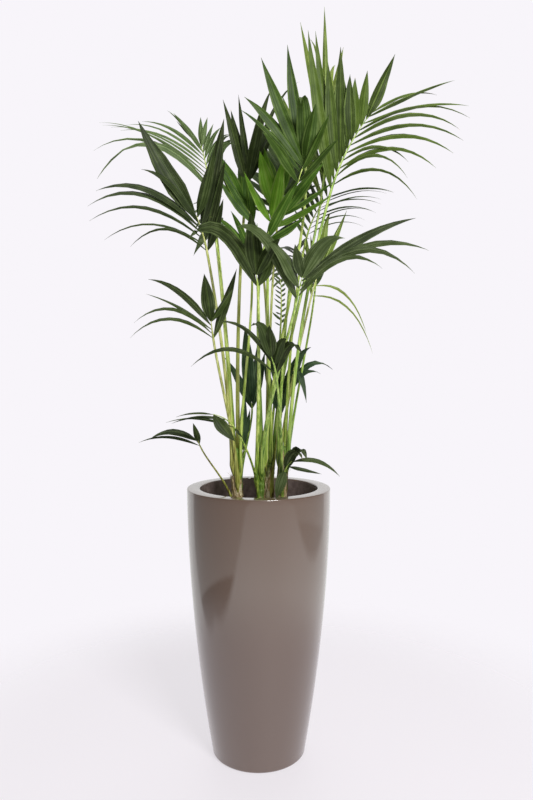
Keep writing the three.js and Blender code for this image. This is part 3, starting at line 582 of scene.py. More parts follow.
# %% Stalks that keep clear of each other
FOOT_SINK = 2                   # how far a stalk's foot is sunk into the stem
FOOT_BELOW_TOP = 8
STALK_CLEAR = 1.2               # room to all other stems, stalks and ribs
RIB_BOW = 3                     # how far a rib may bow from its straight line, and its radius at the tip
STEM_LENGTHS, RIB_LENGTHS = 8, 4
PULL = 0.3                      # how far a stalk's ends run straight on, as a share of its span
GAP = 0.3                       # between a stalk's end and its rib
TURNS = [0, 14, -14, 28, -28, 44, -44, 62, -62, 82, -82]
LIFTS = [0, 14, -14, 28, -28, 42, -42, 56, -56, 70, -70]
STALK_POINTS = 40


def trunk_at(trunk, z):
    """The stem's middle and radius at a height, straight between its foot and its top."""
    foot, top = trunk["foot"], trunk["top"]
    share = (np.asarray(z) - SOIL_TOP) / (top[2] - SOIL_TOP)
    return foot + (top - foot) * share[..., None], trunk["radius"][0] + np.diff(trunk["radius"])[0] * share


def stalk_corners(frond, turn, lift):
    """The four corners of a stalk's curve: its foot beside the stem, straight up from it, back from the neck,
    and the neck."""
    trunk, neck, tip = TRUNKS[frond["trunk"]], frond["neck"], frond["tip"]
    centre, radius = trunk_at(trunk, frond["rise"] + lift)
    out = swung(unit((neck - centre) * [1, 1, 0]), UP, turn)
    foot = centre + out * (radius + frond["radius"][0] - FOOT_SINK)
    axis = unit(trunk["top"] - trunk["foot"])
    pull = np.linalg.norm(neck - foot) * PULL
    end = unit(unit(neck - foot) * 0.6 + unit(tip - neck) * 0.4)
    return np.stack([foot, foot + axis * pull, neck - end * pull, neck])


def side_gap(points, radii, lines):
    """Least distance from a limb's round side to those of many straight lengths [start, end, radius]."""
    start, reach = lines[:, :3], lines[:, 3:6] - lines[:, :3]
    t = np.einsum("psk,sk->ps", points[:, None] - start, reach) / np.sum(reach * reach, axis=1)
    nearest = start + np.clip(t, 0, 1)[..., None] * reach
    return np.min(np.linalg.norm(points[:, None] - nearest, axis=2) - radii[:, None] - lines[:, 6])


def lengths(points, radii):
    """A limb as straight lengths, each with the radius at its end."""
    return np.concatenate([points[:-1], points[1:], radii[1:, None]], axis=1)


def straight(start, end, radii, count):
    """A straight limb cut into equal lengths."""
    t = np.linspace(0, 1, count + 1)
    return lengths(start + (end - start) * t[:, None], radii[0] + (radii[1] - radii[0]) * t)


def settled_stalks():
    """Each frond's stalk corners, at the first turn and lift that leave it room, or else the roomiest."""
    taken = [(name, straight(trunk["foot"], trunk["top"], trunk["radius"], STEM_LENGTHS))
             for name, trunk in TRUNKS.items()]
    for name, frond in FRONDS.items():
        radii = (frond["radius"][1] + RIB_BOW, RIB_BOW)
        taken.append((name, straight(frond["neck"], frond["tip"], radii, RIB_LENGTHS)))
    t, found = np.linspace(0, 1, STALK_POINTS + 1), {}
    for name, frond in FRONDS.items():
        others = np.concatenate([rows for owner, rows in taken if owner not in (name, frond["trunk"])])
        radii = frond["radius"][0] + np.diff(frond["radius"])[0] * t
        highest = TRUNKS[frond["trunk"]]["top"][2] - FOOT_BELOW_TOP
        best = (-math.inf, None, None)
        tries = ((turn, lift) for lift in LIFTS if frond["rise"] + lift <= highest for turn in TURNS)
        for turn, lift in tries:
            corners = stalk_corners(frond, turn, lift)
            points = bezier(corners, t)[0]
            gap = side_gap(points, radii, others)
            if gap > best[0]:
                best = (gap, corners, points)
            if gap >= STALK_CLEAR:
                break
        found[name] = best[1]
        taken.append((None, lengths(best[2], radii)))
        if best[0] < STALK_CLEAR:
            print(f"the stalk of {name} has {best[0]:.2f} mm of room")
    return found


stalks = settled_stalks()


def rib_corners(name):
    """A rib runs on from its stalk and bends to the tip."""
    neck, tip = FRONDS[name]["neck"], FRONDS[name]["tip"]
    _, onward = bezier(stalks[name], 1.0)
    return np.stack([neck + onward * GAP, neck + onward * np.linalg.norm(tip - neck) * 0.5, tip])


# %% [markdown]
# ## The stems
#
# A palm's stem has no bark. It is the stacked feet of old leaves: each leaves a ring, and the newest still
# wrap it in green sheaths. Low down the sheaths have dried to a brown net of fibres. The surface is a pipe
# whose radius swells under each ring and steps back above it, with fine ridges along it.

# %% Stem surface
STEM_ROWS, STEM_COLUMNS = 110, 48
FLARE_HEIGHT, FLARE = 30, 4
RING_GAP, RING_SLANT = 17, 2.5  # between two leaf rings, and how far one rises and sinks round the stem
SWELLING = 1.3                  # under a ring
STEM_SUNK = 5                   # how far a stem goes down into the mix
DOME = 16                       # how much of a stem's top rounds off


def stem_radius(number, trunk, angle, z):
    """The stem's radius: its taper, a flare at the foot, a swelling under each slanting ring, and ridges."""
    flare = np.clip(1 - (z - SOIL_TOP) / FLARE_HEIGHT, 0, 1) ** 2 * FLARE
    ring = (z + RING_SLANT * np.sin(angle + 2.1 * number) + 5 * number) / RING_GAP
    ridges = 0.3 * np.sin(19 * angle + 1.5 * np.sin(z / 11 + number)) + 0.2 * np.sin(31 * angle - z / 23)
    return trunk_at(trunk, z)[1] + flare + SWELLING * (ring % 1) ** 2.5 + ridges


def stem_points(number, trunk):
    """Rings up the stem, drawn in at the top like a dome."""
    angle = np.linspace(0, 2 * np.pi, STEM_COLUMNS, endpoint=False)
    z = np.linspace(SOIL_TOP - STEM_SUNK, trunk["top"][2], STEM_ROWS)[:, None]
    high = np.clip((z - trunk["top"][2] + DOME) / DOME, 0, 1)
    radius = stem_radius(number, trunk, angle, z) * np.sqrt(1 - 0.97 * high ** 2)
    return trunk_at(trunk, z[:, 0])[0][:, None] + round_about(angle) * radius[..., None]


# %% [markdown]
# Living sheath is smooth, waxy and yellow-green, and dead sheath is a papery brown net. Both lie on one stem,
# one above the other, so the stem's colour follows its height, and a noise frays the border.

# %% Stem finish
BROWN_UP_TO = {"left": 0.81, "centre": 0.70, "right": 0.80, "back": 0.79}    # m
BORDER = 0.04                   # m, from the first green to the last brown
DRY = [(0.36, "#5a4822"), (0.45, "#a8986a"), (0.55, "#ddd3ad")]
LIVING = [(0.3, "#3d5219"), (0.55, "#6b8a33"), (0.75, "#93ad4c")]

for number, (name, trunk) in enumerate(TRUNKS.items()):
    stem = Skin()
    stem.add(closed(stem_points(number, trunk)))
    sheathed = changing_upwards(
        f"leaf_sheath_{name}", {"Roughness": 0.55, "IOR": 1.45}, noise=(260, 6, 0.18), tones=(DRY, LIVING),
        border=(BROWN_UP_TO[name], BROWN_UP_TO[name] + BORDER), bump=(0.6, 0.0012), fray=(0.06, 45, 3),
    )
    stem.piece(f"stem_{name}", [sheathed], [f"trunk_{name}"])

# %% [markdown]
# The newest dead sheaths haven't fallen yet. Each is a papery sleeve that hugs part of the stem, stands off
# at its torn upper edge and frays into hairs there. A sleeve is a thin closed strip bent round the stem: its
# top is a rough arch, and it leans out with the square of the height. It has no thickness at its lower and
# upper edge, so its two sides meet there. A hair is a three-sided thread, drawn twice as thick as it is.

# %% Torn sheaths and their hairs
SHEATHS = {                     # lower edge, upper edge, and in degrees: way that it faces, half its spread
    "left": ((686, 736, -75, 80), (722, 786, 205, 60), (760, 822, -35, 50), (690, 760, 60, 70)),
    "centre": ((682, 726, -110, 80), (712, 768, 20, 60)),
    "right": ((716, 792, -25, 52), (688, 742, 225, 60), (800, 856, -100, 46), (700, 760, 80, 70)),
    "back": ((690, 745, 60, 80), (730, 800, -60, 60)),
}
SHEATH_THICK = 0.7
SHEATH_OFF = 0.4                # between a sleeve's foot and the stem
SHEATH_LEAN = 4.5
HAIRS = 9                       # on each sleeve
HAIR_RADIUS = 0.35
HAIR_REACH = (14, 38)           # least and most
HAIR_SAG = 0.45                 # share of its reach


def sleeve(number, trunk, low, high, facing, spread):
    """Rows up the sleeve. Each goes round its outer side and comes back along its inner side."""
    s, u = np.linspace(0, 1, 14)[:, None], np.linspace(-1, 1, 19)
    angle = np.radians(facing + spread * u * (1 - 0.35 * s ** 2))
    torn = 1 - 0.3 * np.abs(u) ** 1.6 + 0.07 * np.sin(11 * u + low) + 0.05 * np.sin(29 * u + high)
    z = low + (high - low) * s * torn
    inner = stem_radius(number, trunk, angle, z) + SHEATH_OFF + SHEATH_LEAN * s ** 2 * (1 - 0.5 * u ** 2)
    outer = inner + SHEATH_THICK * np.sin(np.pi * s) ** 0.5
    middle, around = trunk_at(trunk, z)[0], round_about(angle)
    inside, outside = (middle + around * radius[..., None] for radius in (inner, outer))
    return np.concatenate([outside, inside[:, ::-1]], axis=1)


def hairs(edge, away):
    """Threads from random places on a sleeve's torn edge, that rise, lean away and sink."""
    start = edge[draw.integers(0, len(edge), HAIRS)]
    lean = unit(away * draw.uniform(0.1, 0.5, (HAIRS, 1)) + draw.uniform(-0.3, 0.3, (HAIRS, 3)) + UP)
    t = np.linspace(0, 1, 7)[None, :, None]
    reach = draw.uniform(*HAIR_REACH, (HAIRS, 1, 1))
    line = start[:, None] + (lean[:, None] * t - HAIR_SAG * UP * t ** 2) * reach - 2 * UP
    ring = round_about(np.arange(3) * 2 * np.pi / 3) * HAIR_RADIUS
    return closed(line[:, :, None] + ring * (1 - 0.7 * t[..., None]))


papery_sheath = mottled("papery_brown_sheath", {"Roughness": 0.75, "IOR": 1.4}, 420, 5,
                        [(0.32, "#654c2b"), (0.47, "#a38b5b"), (0.62, "#d8caa2")],
                        bump=(0.7, 0.001), stretch=0.12)
for number, (name, trunk) in enumerate(TRUNKS.items()):
    sheath = Skin()
    for low, high, facing, spread in SHEATHS[name]:
        strip = sleeve(number, trunk, low, high, facing, spread)
        sheath.add(strip)
        sheath.add(hairs(strip[-1], round_about(np.radians(facing))))
    sheath.piece(f"torn_sheath_{name}", [papery_sheath])

# %% [markdown]
# ## Leaf stalks and ribs
#
# A kentia's stalk is one long springy rod, round below and grooved above. It starts as a broad base that
# clasps the stem, and runs on without a joint as the rib between the leaflets. So stalk and rib are one pipe
# here: a ring of points carried along the path, with a dent on the side that faces up.

# %% Leaf stalk shape
STALK_SIDES = 12
STALK_STEP = 12                 # between two rings
STALK_BURIED = 45               # how far its base starts below the foot, inside the stem
CLASP, CLASP_LENGTH = 0.55, 45  # how much wider the base is, and how fast that fades
GROOVE, GROOVE_WIDTH = 0.26, 0.6
RIB_END = 0.8                   # the rib's radius at its tip
START_INSIDE = 6                # how far under the stem's skin the base starts
CURVE_STEPS = 64                # short straight steps that a curve is measured in


def pipe(path, radii, groove_side):
    """Rings square to a path. The ring's radius dips by the groove, as a bell curve of the angle from the
    groove's side."""
    along = unit(np.gradient(path, axis=0))
    top = unit(groove_side - along * (along @ groove_side)[:, None])
    side = np.cross(along, top)
    angle = np.linspace(-np.pi, np.pi, STALK_SIDES, endpoint=False)
    shape = 1 - GROOVE * np.exp(-(angle / GROOVE_WIDTH) ** 2)
    ring = top[:, None] * np.cos(angle)[:, None] + side[:, None] * np.sin(angle)[:, None]
    return path[:, None] + ring * (radii[:, None] * shape)[..., None]


def curve_length(corners):
    """A curve's length, as the sum of short straight steps."""
    points, _ = bezier(corners, np.linspace(0, 1, CURVE_STEPS + 1))
    return np.sum(np.linalg.norm(np.diff(points, axis=0), axis=1))


def even_steps(corners):
    """Points on a curve, about one stalk step apart."""
    return bezier(corners, np.linspace(0, 1, max(6, round(curve_length(corners) / STALK_STEP))))[0]


def leafstalk(name):
    """The whole pipe: out of the stem, up the stalk and on along the rib to its tip."""
    frond, corners = FRONDS[name], stalks[name]
    foot, thick, thin = corners[0], *frond["radius"]
    out = unit((foot - trunk_at(TRUNKS[frond["trunk"]], foot[2])[0]) * [1, 1, 0])
    up = unit(corners[1] - foot)
    inside = [foot - up * STALK_BURIED - out * (thick + START_INSIDE), foot - up * STALK_BURIED / 2, foot]
    base, stalk, rib = even_steps(inside)[:-1], even_steps(corners), even_steps(rib_corners(name))
    path = np.concatenate([base, stalk, rib[1:]])
    radii = np.concatenate([
        np.linspace(0.3, 1, len(base) + 1)[:-1] * thick,
        np.linspace(thick, thin, len(stalk)),
        np.linspace(thin, RIB_END, len(rib))[1:],
    ])
    travelled = np.concatenate([[0], np.cumsum(np.linalg.norm(np.diff(path, axis=0), axis=1))])
    radii *= 1 + CLASP * np.exp(-np.abs(travelled - STALK_BURIED) / CLASP_LENGTH)
    return pipe(path, radii, UP - out)


# %% [markdown]
# Stalk skin is smooth and a little waxy. Old stalks are olive, young ones lime, and some turn straw yellow,
# so three finishes are dealt out in turn. Streaks run along a stalk. The stalks stand nearly upright, so a
# noise stretched along Z draws them, and height passes from deep green to light.

# %% Stalk finish
DEEPER_BELOW = (0.80, 1.12)     # m: the green is deep below the first height, and light above the second
STALK_GREENS = {                # dark, middle and light streaks: low down, then high up
    "olive": ("#33501a", "#6d8c33", "#a5b95a", "#75943c", "#98b652", "#bccf78"),
    "lime": ("#4a681c", "#88a63b", "#bccb62", "#8aa342", "#acc258", "#cfdb86"),
    "straw": ("#6b4f1e", "#929a3f", "#c3c36c", "#8f9a4a", "#b2b964", "#cfd190"),
}
STREAKS = (0.36, 0.49, 0.62)    # where on the noise the three tones lie

stalk_finishes = []
for name, tones in STALK_GREENS.items():
    deep, light = (list(zip(STREAKS, three)) for three in (tones[:3], tones[3:]))
    stalk_finishes.append(changing_upwards(
        f"waxy_leaf_stalk_{name}", {"Roughness": 0.4, "IOR": 1.45}, noise=(210, 4, 0.05), tones=(deep, light),
        border=DEEPER_BELOW, bump=(0.3, 0.0005),
    ))
for number, name in enumerate(FRONDS):
    stalk = Skin()
    stalk.add(closed(leafstalk(name)))
    skin = stalk_finishes[number % len(stalk_finishes)]
    stalk.piece(f"leafstalk_{name}", [skin], [f"stalk_{name}", f"frond_{name}"])

# %% [markdown]
# ## Leaflets
#
# A kentia leaflet is a long lance, folded like a roof along its midrib, tightly at its foot and softly
# further out. It bends down under its own weight, twists a little, and its edges wave. Broad leaflets also
# have pleats between their main veins. All of a frond's leaflets are worked out together, as one array of
# blades. A blade has a few faces across and a dozen along: its outline has to be smooth, and little else.

# %% Leaflet plans
FIRST_LEAFLET = 6               # from the neck to the first leaflets
SHINGLE = 12                    # degrees a leaflet is turned about its length, so that neighbours lap
SIDES = ("left", "right")
TO_LIGHT = unit(np.array([0, -1, 0.8]))   # the light that the plant grew in came from the front and above


def leaflet_plans(number, name):
    """Root, direction, face, length, droop and width of each leaflet of a frond, and chances for its look."""
    frond, rib = FRONDS[name], rib_corners(name)
    counts = FULLER.get(name, [frond[side][0] for side in SIDES])
    keys = [np.array(frond[side][1:], float) for side in SIDES]
    parts = []
    for side, count in enumerate(counts):
        index = np.arange(count)
        place = index / (count - 1) if count > 1 else np.array([0.3])
        key_places = np.round(np.linspace(0, 1, len(keys[side])), 2)
        slope, reach, length, droop, width = (np.interp(place, key_places, row) for row in keys[side].T)
        loose = 1 if frond[SIDES[side]][0] > len(keys[side]) else 0.35

        def shift(which):
            """A share of half a step up or down for each leaflet."""
            return (np.array([chance(number, side, i, which) for i in index]) - 0.5) * loose

        stagger = np.where(place < 0.99, 0.5 / count, 0) if side and count > 4 else 0
        first = min(FIRST_LEAFLET / curve_length(rib), 0.4)
        root, _ = bezier(rib, first + (0.97 - first) * np.minimum(1, place + stagger))
        way = heading(slope, reach)
        face = unit(TO_LIGHT - way * (way @ TO_LIGHT)[:, None])
        face = swung(face, way, -SHINGLE if side else SHINGLE)
        parts.append(dict(
            root=root, face=face, way=heading(slope + 6 * shift(0), reach + 22 * shift(1)),
            length=length * (1 + 0.12 * shift(2)), droop=droop * (1 + 0.3 * shift(3)),
            width=width * (1 + 0.15 * shift(4)),
            luck=np.array([[chance(number, side, i, which) for which in range(5, 10)] for i in index]),
        ))
    return {key: np.concatenate([part[key] for part in parts]) for key in parts[0]}


# %% [markdown]
# Across the blade a point has a place u, from -1 at one edge through 0 on the midrib to 1 at the other. Its
# height is the roof's slope, plus the midrib's ridge, the pleats and the wave of the edge. Its underside
# lies a leaf's thickness lower.

# %% Leaflet surface
BLADE_STEPS = 48                # short steps in which a blade's bend is worked out
RINGS = np.array([0, 1, 3, 6, 10, 15, 20, 25, 30, 35, 40, 44, 47, 48])
THICK = 0.8                     # twice a real leaflet's, so that its edge catches light
RIDGE = 0.7                     # height of the midrib
BROAD = 33                      # leaflets wider than this have pleats
# A blade's places across, the upper side first, and how many of them are the upper side's.
NARROW_BLADE = np.array([-1, -0.52, -0.1, 0, 0.1, 0.52, 1, 0]), 7
BROAD_BLADE = np.array([-1, -0.82, -0.62, -0.4, -0.2, -0.06, 0, 0.06, 0.2, 0.4, 0.62, 0.82, 1,
                        0.5, 0, -0.5]), 13
PLEATS = {-0.82: -1, -0.62: 1, -0.4: -1, -0.2: 0.8, 0.2: 0.8, 0.4: -1, 0.62: 1, 0.82: -1}
PLEAT = 0.034                   # height of a pleat for each millimetre of the blade's half width
WAVE = 0.05                     # the edge's wave, likewise
MOST_TWIST = 22                 # degrees, either way
WIDEST = 0.38                   # where along the blade, as a share of its length


def outline(s):
    """Half the leaflet's width as a share of its widest: a folded foot, a broad middle and a long tip."""
    rise = 0.16 + 0.84 * np.sin(np.minimum(1, s / WIDEST) * np.pi / 2) ** 0.95
    return rise * np.where(s < WIDEST, 1, 1 - (np.maximum(s - WIDEST, 0) / (1 - WIDEST)) ** 1.8)


def fold_angle(s):
    """Degrees that each half hangs below level: steep at the foot, soft in the middle, firmer at the tip."""
    return 16 + 44 * np.exp(-s / 0.07) + 12 * s ** 3


def blades(plans, across, top_count):
    """Closed blades as (leaflets, rings, columns, 3). The first top_count columns are the upper side."""
    middle = (np.arange(BLADE_STEPS) + 0.5) / BLADE_STEPS
    along = unit(plans["way"][:, None] - (plans["droop"][:, None] * middle ** 1.4)[..., None] * UP)
    steps = np.cumsum(along * (plans["length"] / BLADE_STEPS)[:, None, None], axis=1)
    line = plans["root"][:, None] + np.concatenate([0 * steps[:, :1], steps], axis=1)[:, RINGS]
    along = unit(along[:, np.maximum(RINGS - 1, 0)] + along[:, np.minimum(RINGS, BLADE_STEPS - 1)])
    wide = unit(np.cross(plans["way"], plans["face"]))[:, None]
    wide = unit(wide - along * np.sum(wide * along, axis=2, keepdims=True))
    up = np.cross(wide, along)

    s, luck = (RINGS / BLADE_STEPS)[None, :, None], plans["luck"][:, :, None, None]
    twist = np.radians(MOST_TWIST) * (2 * luck[:, 0] - 1) * s ** 0.8
    half = np.maximum(plans["width"][:, None, None] / 2 * outline(s), 0.5)
    fold = np.radians(fold_angle(s))
    u, pleats = across, np.array([PLEATS.get(u, 0) for u in across])
    x = u * half * np.cos(fold)
    waves = np.sin(2 * np.pi * (s * (1.5 + 2 * luck[:, 1]) + luck[:, 2]) + u)
    z = -np.abs(u) * half * np.sin(fold) + RIDGE * (u == 0) * np.minimum(1, half / 6)
    z = z + WAVE * half * waves * u ** 2 + PLEAT * half * pleats * np.sin(np.pi * s) ** 0.5
    under = np.arange(len(across)) >= top_count
    z = z - under * (THICK + RIDGE * (u == 0)) * np.minimum(1, half / 6)
    x, z = x * np.cos(twist) - z * np.sin(twist), x * np.sin(twist) + z * np.cos(twist)
    return line[:, :, None] + wide[:, :, None] * x[..., None] + up[:, :, None] * z[..., None]


def add_blades(skin, plans, chosen, across, top_count):
    """Adds the chosen leaflets. Finishes 0 to 2 are the upper side's greens, 3 is the underside, 4 the midrib
    and 5 a dried tip."""
    if not chosen.any():
        return
    plans = {key: value[chosen] for key, value in plans.items()}
    rings = closed(blades(plans, across, top_count))
    tone, dry = (3 * plans["luck"][:, 3]).astype(int), plans["luck"][:, 4] < DRY_TIPS
    number = np.broadcast_to(tone[:, None, None], (len(tone), rings.shape[1] - 1, len(across))).copy()
    number[:, :, top_count // 2 - 1:top_count // 2 + 1] = 4
    number[:, :, top_count - 1:] = 3
    number[dry, -2:] = 5
    skin.add(rings, finish=number.reshape(len(tone), -1), across=(np.append(across, across[0]) + 1) / 2)


# %% [markdown]
# A leaflet's skin is a satin cuticle: it mirrors light softly and hides most of the green below it where
# the light grazes. Each leaflet gets one of three close greens by chance, as they do by age. Fine veins run
# along the blade, a real millimetre apart. About six are drawn across it, so that they show. The edge is a
# thin paler line, a painted highlight that stands in for light shining through the thin margin.

# %% Leaf finishes
GREENS = {                      # three upper sides, the underside, the midrib
    "leaflet_deep": ("#35491d", "#3d5222", "#2d3f19", "#4a5a2e", "#5a7038"),
    "leaflet_bright": ("#40601a", "#4c6d1f", "#365316", "#556b2e", "#698832"),
    "leaflet_dark": ("#2f3b19", "#37451e", "#273214", "#3a4624", "#4a5a2b"),
    "leaflet_grey": ("#536739", "#5f7344", "#495a31", "#65754d", "#80965d"),
    "leaflet_pale": ("#6f9434", "#7da33e", "#628530", "#86a056", "#a5c05e"),
    "leaflet_shade": ("#2b3d29", "#364a33", "#243422", "#3b4c36", "#476038"),
    # The next three greens carry painted light and shade: a brighter one for light shining through a frond,
    # and two darker ones for fronds in the crown's shade.
    "sunlit_bright": ("#5c861f", "#699726", "#50781b", "#6f8b3a", "#86aa3e"),
    "shaded_middle": ("#364c19", "#40591d", "#2d4215", "#495c29", "#5b752f"),
    "shaded_dusky": ("#2a3517", "#313e1b", "#232c12", "#333e20", "#425227"),
    "topmost": ("#3d4e1c", "#4a5d21", "#334217", "#52642e", "#667b38"),
    "greyed": ("#3a4626", "#44522d", "#313c20", "#4b5736", "#5b6843"),
    "olive": ("#6a7f34", "#7a8c3e", "#5c702c", "#7f9050", "#9bab5f"),
}
# Fronds with a green of their own. Among them, centre_bright's is lighter, painted light for light that
# shines through it, and those of centre_high, left_front and mid_right are darker, painted shade where the
# crown shades them.
GREEN_OF_ITS_OWN = {
    "centre_bright": "sunlit_bright", "centre_high": "shaded_middle", "left_front": "shaded_dusky", "mid_right": "shaded_dusky",
    "right_high": "topmost", "top_back": "olive", "right_back": "olive", "right_front": "greyed",
    "low_right": "greyed",
}
DRY_TIPS = 0.08                 # share of the leaflets whose tip has dried
VEIN_SCALE = 1.91               # draws six waves across a blade
SHADE, SHEEN = "#101808", "#e8ecc0"     # what a green is mixed with for its blotches


def mixed(low, high, share):
    """A hex colour between two others."""
    pairs = [(int(low[i:i + 2], 16), int(high[i:i + 2], 16)) for i in (1, 3, 5)]
    return "#" + "".join(f"{round(a + (b - a) * share):02x}" for a, b in pairs)


def leaf_finish(name, green, edge, rough):
    """A leaf's skin: veins and blotches over a green, and a pale line along the edge painted in for light
    shining through it.
    """
    material, tree, shader = finish(name, {"Roughness": rough, "IOR": 1.45, "Specular IOR Level": 0.16})
    place = add_node(tree, "ShaderNodeUVMap", {"uv_map": "UVMap"}).outputs["UV"]
    veins = add_node(tree, "ShaderNodeTexWave", {"Scale": VEIN_SCALE, "Distortion": 0.6, "Detail": 1,
                                                 "Vector": place}).outputs["Fac"]
    pattern = add_node(tree, "ShaderNodeMath", {"operation": "MULTIPLY_ADD", 0: veins, 1: 0.3,
                                                2: grain(tree, 28, 5, 1)})
    stops = [(0.35, mixed(green, SHADE, 0.22)), (0.65, green), (0.95, mixed(green, SHEEN, 0.16))]
    skin = add_node(tree, "ShaderNodeValToRGB", {"Fac": pattern.outputs["Value"], "stops": stops})
    across = add_node(tree, "ShaderNodeSeparateXYZ", {"Vector": place})
    off = add_node(tree, "ShaderNodeMath", {"operation": "SUBTRACT", 0: across.outputs["X"], 1: 0.5})
    far = add_node(tree, "ShaderNodeMath", {"operation": "ABSOLUTE", 0: off.outputs["Value"]})
    # Painted highlight: a pale line along both edges, for light that shines through the thin margin.
    backlit_margin = add_node(tree, "ShaderNodeMapRange", {"From Min": 0.44, "From Max": 0.5, "To Max": 0.6,
                                                   "Value": far.outputs["Value"]})
    both = add_node(tree, "ShaderNodeMix", {"data_type": "RGBA", "Factor": backlit_margin.outputs["Result"],
                                            "A": skin.outputs["Color"], "B": colour(edge)})
    raised = add_node(tree, "ShaderNodeBump", {"Strength": 0.35, "Distance": 0.0006, "Height": veins})
    set_up(shader, {"Base Color": both.outputs["Result"], "Normal": raised.outputs["Normal"]})
    return material


dry_tip = mottled("dried_leaf_tip", {"Roughness": 0.8, "IOR": 1.4}, 120, 4,
                  [(0.3, "#7b6238"), (0.7, "#b59b63")])
leaf_finishes = {}
for slot, (*tones, under, midrib) in GREENS.items():
    uppers = [leaf_finish(f"{slot}_upper_{i}", green, midrib, 0.46) for i, green in enumerate(tones)]
    leaf_finishes[slot] = [*uppers, leaf_finish(f"{slot}_underside", under, midrib, 0.6),
                           leaf_finish(f"{slot}_midrib", midrib, midrib, 0.45), dry_tip]

# %% Grow the leaflets
total = 0
for number, name in enumerate(FRONDS):
    plans = leaflet_plans(number, name)
    broad = plans["width"] > BROAD
    leaves = Skin()
    add_blades(leaves, plans, ~broad, *NARROW_BLADE)
    add_blades(leaves, plans, broad, *BROAD_BLADE)
    slot = slots[f"frond_{name}"]
    green = GREEN_OF_ITS_OWN.get(name, slot)
    leaves.piece(f"leaflets_{name}", leaf_finishes[green], [f"frond_{name}"])
    total += len(broad)
print(total, "leaflets")

# %% [markdown]
# ## Floor and light
#
# The floor is a pale disc that fades out before its edge, so that no line shows behind the plant. The glossy
# planter mirrors the room, so the world is a room of plain patches: a bright floor, dim walls with a large
# dark stretch on the left and on the right that is darker still low down, a bright wall behind the plant with
# one dimmer corner, and a faintly lit ceiling. Camera rays see a plain near-white instead.

# %% Floor
FADE = (0.62, 1.35)             # m from the axis: solid inside the first, gone at the second
FLOOR_RINGS, FLOOR_SEGMENTS = 23, 96

ring = np.linspace(0, FADE[1] / MM, FLOOR_RINGS + 1)[1:]
floor_points = turned_round(np.stack([ring, 0 * ring], axis=1), FLOOR_SEGMENTS).reshape(-1, 3) * MM
faces, _ = lattice(FLOOR_RINGS, FLOOR_SEGMENTS)
floor_mesh = bpy.data.meshes.new("floor")
floor_mesh.from_pydata(floor_points.tolist(), [], [*faces.tolist(), list(range(FLOOR_SEGMENTS))])
floor = in_scene("floor", floor_mesh)

paint, tree, shader = finish("matt_floor_paint", {
    "Base Color": colour("#8f8b8f"), "Roughness": 0.6, "Emission Color": colour("#f8f4f9"),
    "Emission Strength": 0.68,
})
space = add_node(tree, "ShaderNodeTexCoord")
far = add_node(tree, "ShaderNodeVectorMath", {"operation": "LENGTH", "Vector": space.outputs["Object"]})
gone = add_node(tree, "ShaderNodeMapRange", {"interpolation_type": "SMOOTHSTEP", "From Min": FADE[0],
                                             "From Max": FADE[1], "Value": far.outputs["Value"]})
clear = add_node(tree, "ShaderNodeBsdfTransparent")
both = add_node(tree, "ShaderNodeMixShader", {"Fac": gone.outputs["Result"], 1: shader.outputs["BSDF"],
                                              2: clear.outputs["BSDF"]})
set_up(tree.nodes["Material Output"], {"Surface": both.outputs["Shader"]})
floor_mesh.materials.append(paint)

# %% World
BACKGROUND = "#f8f5fa"
ALL_ROUND = 0.14                # light that comes from everywhere in the room
BY_HEIGHT = {                   # two heights, as the Z of a way, and the strength at either
    "floor": (-0.1, -0.42, 0.3, 1.0), "low": (0.12, 0.3, 1.0, 0.0),
    "left_depth": (-0.378, -0.392, 0.42, 0.85), "right_depth": (-0.243, -0.257, 0.26, 0.58),
}
PATCHES = {                     # azimuth from -Y to +X, elevation, half angle, soft edge (degrees); strength
    "left": (-71, 47, 75, 1.2, 1.0), "left_low": (-94, 20, 48, 1.0, 1.0), "right": (94, 55, 74, 1.0, 1.0),
    "right_glow": (85, -25, 30, 22, 0.14), "wall": (180, 0, 57, 4, 1.0), "ceiling": (20, 80, 40, 15, 0.25),
    "dim": (-140, 8, 45, 20, 0.12),
}
STEPS = (                       # what is made, how, and from which two
    ("left", "MAXIMUM", "left", "left_low"), ("left", "MULTIPLY", "left", "left_depth"),
    ("left", "MULTIPLY", "left", "low"), ("left", "SUBTRACT", 1.0, "left"),
    ("right", "MULTIPLY", "right", "right_depth"),
    ("right", "MULTIPLY", "right", "low"), ("right", "SUBTRACT", 1.0, "right"),
    ("below_horizon", "LESS_THAN", "height", 0.0), ("dim", "SUBTRACT", 1.0, "dim"),
    ("lit", "MULTIPLY", "floor", "below_horizon"), ("lit", "ADD", "lit", ALL_ROUND),
    ("lit", "MULTIPLY", "lit", "left"), ("lit", "MULTIPLY", "lit", "right"),
    ("lit", "ADD", "lit", "right_glow"), ("lit", "MAXIMUM", "lit", "wall"),
    ("lit", "MAXIMUM", "lit", "ceiling"), ("lit", "MULTIPLY", "lit", "dim"),
)
world = bpy.data.worlds.new("studio")
bpy.context.scene.world = world
world.use_nodes = True
tree = world.node_tree
way = add_node(tree, "ShaderNodeTexCoord").outputs["Generated"]
light = {"height": add_node(tree, "ShaderNodeSeparateXYZ", {"Vector": way}).outputs["Z"]}
changes = {name: (light["height"], limits) for name, limits in BY_HEIGHT.items()}
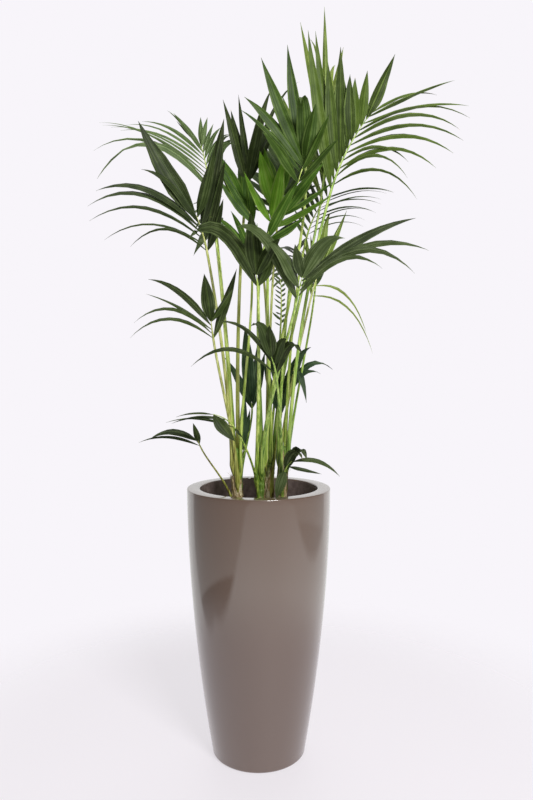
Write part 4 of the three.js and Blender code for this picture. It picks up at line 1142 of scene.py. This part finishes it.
for name, (azimuth, elevation, half_angle, soft, strength) in PATCHES.items():
    a, e = math.radians(azimuth), math.radians(elevation)
    centre = (math.sin(a) * math.cos(e), -math.cos(a) * math.cos(e), math.sin(e))
    near = add_node(tree, "ShaderNodeVectorMath", {"operation": "DOT_PRODUCT", 0: way, 1: centre})
    edges = [math.cos(math.radians(half_angle + side * soft)) for side in (1, -1)]
    changes[name] = near.outputs["Value"], (*edges, 0.0, strength)
for name, (number, limits) in changes.items():
    settings = dict(zip(("From Min", "From Max", "To Min", "To Max"), limits))
    light[name] = add_node(tree, "ShaderNodeMapRange", {**settings, "Value": number}).outputs["Result"]
for name, operation, first, second in STEPS:
    pair = {0: light.get(first, first), 1: light.get(second, second)}
    light[name] = add_node(tree, "ShaderNodeMath", {"operation": operation, **pair}).outputs["Value"]

room = set_up(tree.nodes["Background"], {"Color": (1, 1, 1, 1), "Strength": light["lit"]})
plain = add_node(tree, "ShaderNodeBackground", {"Color": colour(BACKGROUND)})
path = add_node(tree, "ShaderNodeLightPath")
seen = add_node(tree, "ShaderNodeMixShader", {"Fac": path.outputs["Is Camera Ray"],
                                              1: room.outputs["Background"], 2: plain.outputs["Background"]})
set_up(tree.nodes["World Output"], {"Surface": seen.outputs["Shader"]})
bpy.context.scene.view_settings.view_transform = "Standard"
print("a room of", len(PATCHES), "patches")

# %% [markdown]
# Two soft lamps light the plant. The key stands in front, to the right and high up, and shapes the leaves.
# The large one overhead only lifts the tops of the upper fronds.

# %% Lamps
def softbox(name, place, target, size, power):
    """A rectangular lamp at a place, turned to its target. Places and sizes are in metres, power in watts."""
    lamp = bpy.data.lights.new(name, "AREA")
    lamp.shape, lamp.size, lamp.size_y, lamp.energy = "RECTANGLE", *size, power
    made = in_scene(name, lamp)
    made.location = place
    aim = unit(np.array(target) - place)
    made.rotation_euler = (math.acos(-aim[2]), 0, math.atan2(aim[1], aim[0]) - math.pi / 2)


softbox("key", (1.1, -2.6, 2.9), (0, 0, 1.2), (1.0, 0.8), 95)
softbox("top", (-0.3, 0.1, 3.9), (0, 0, 1.0), (2.2, 2.2), 14)
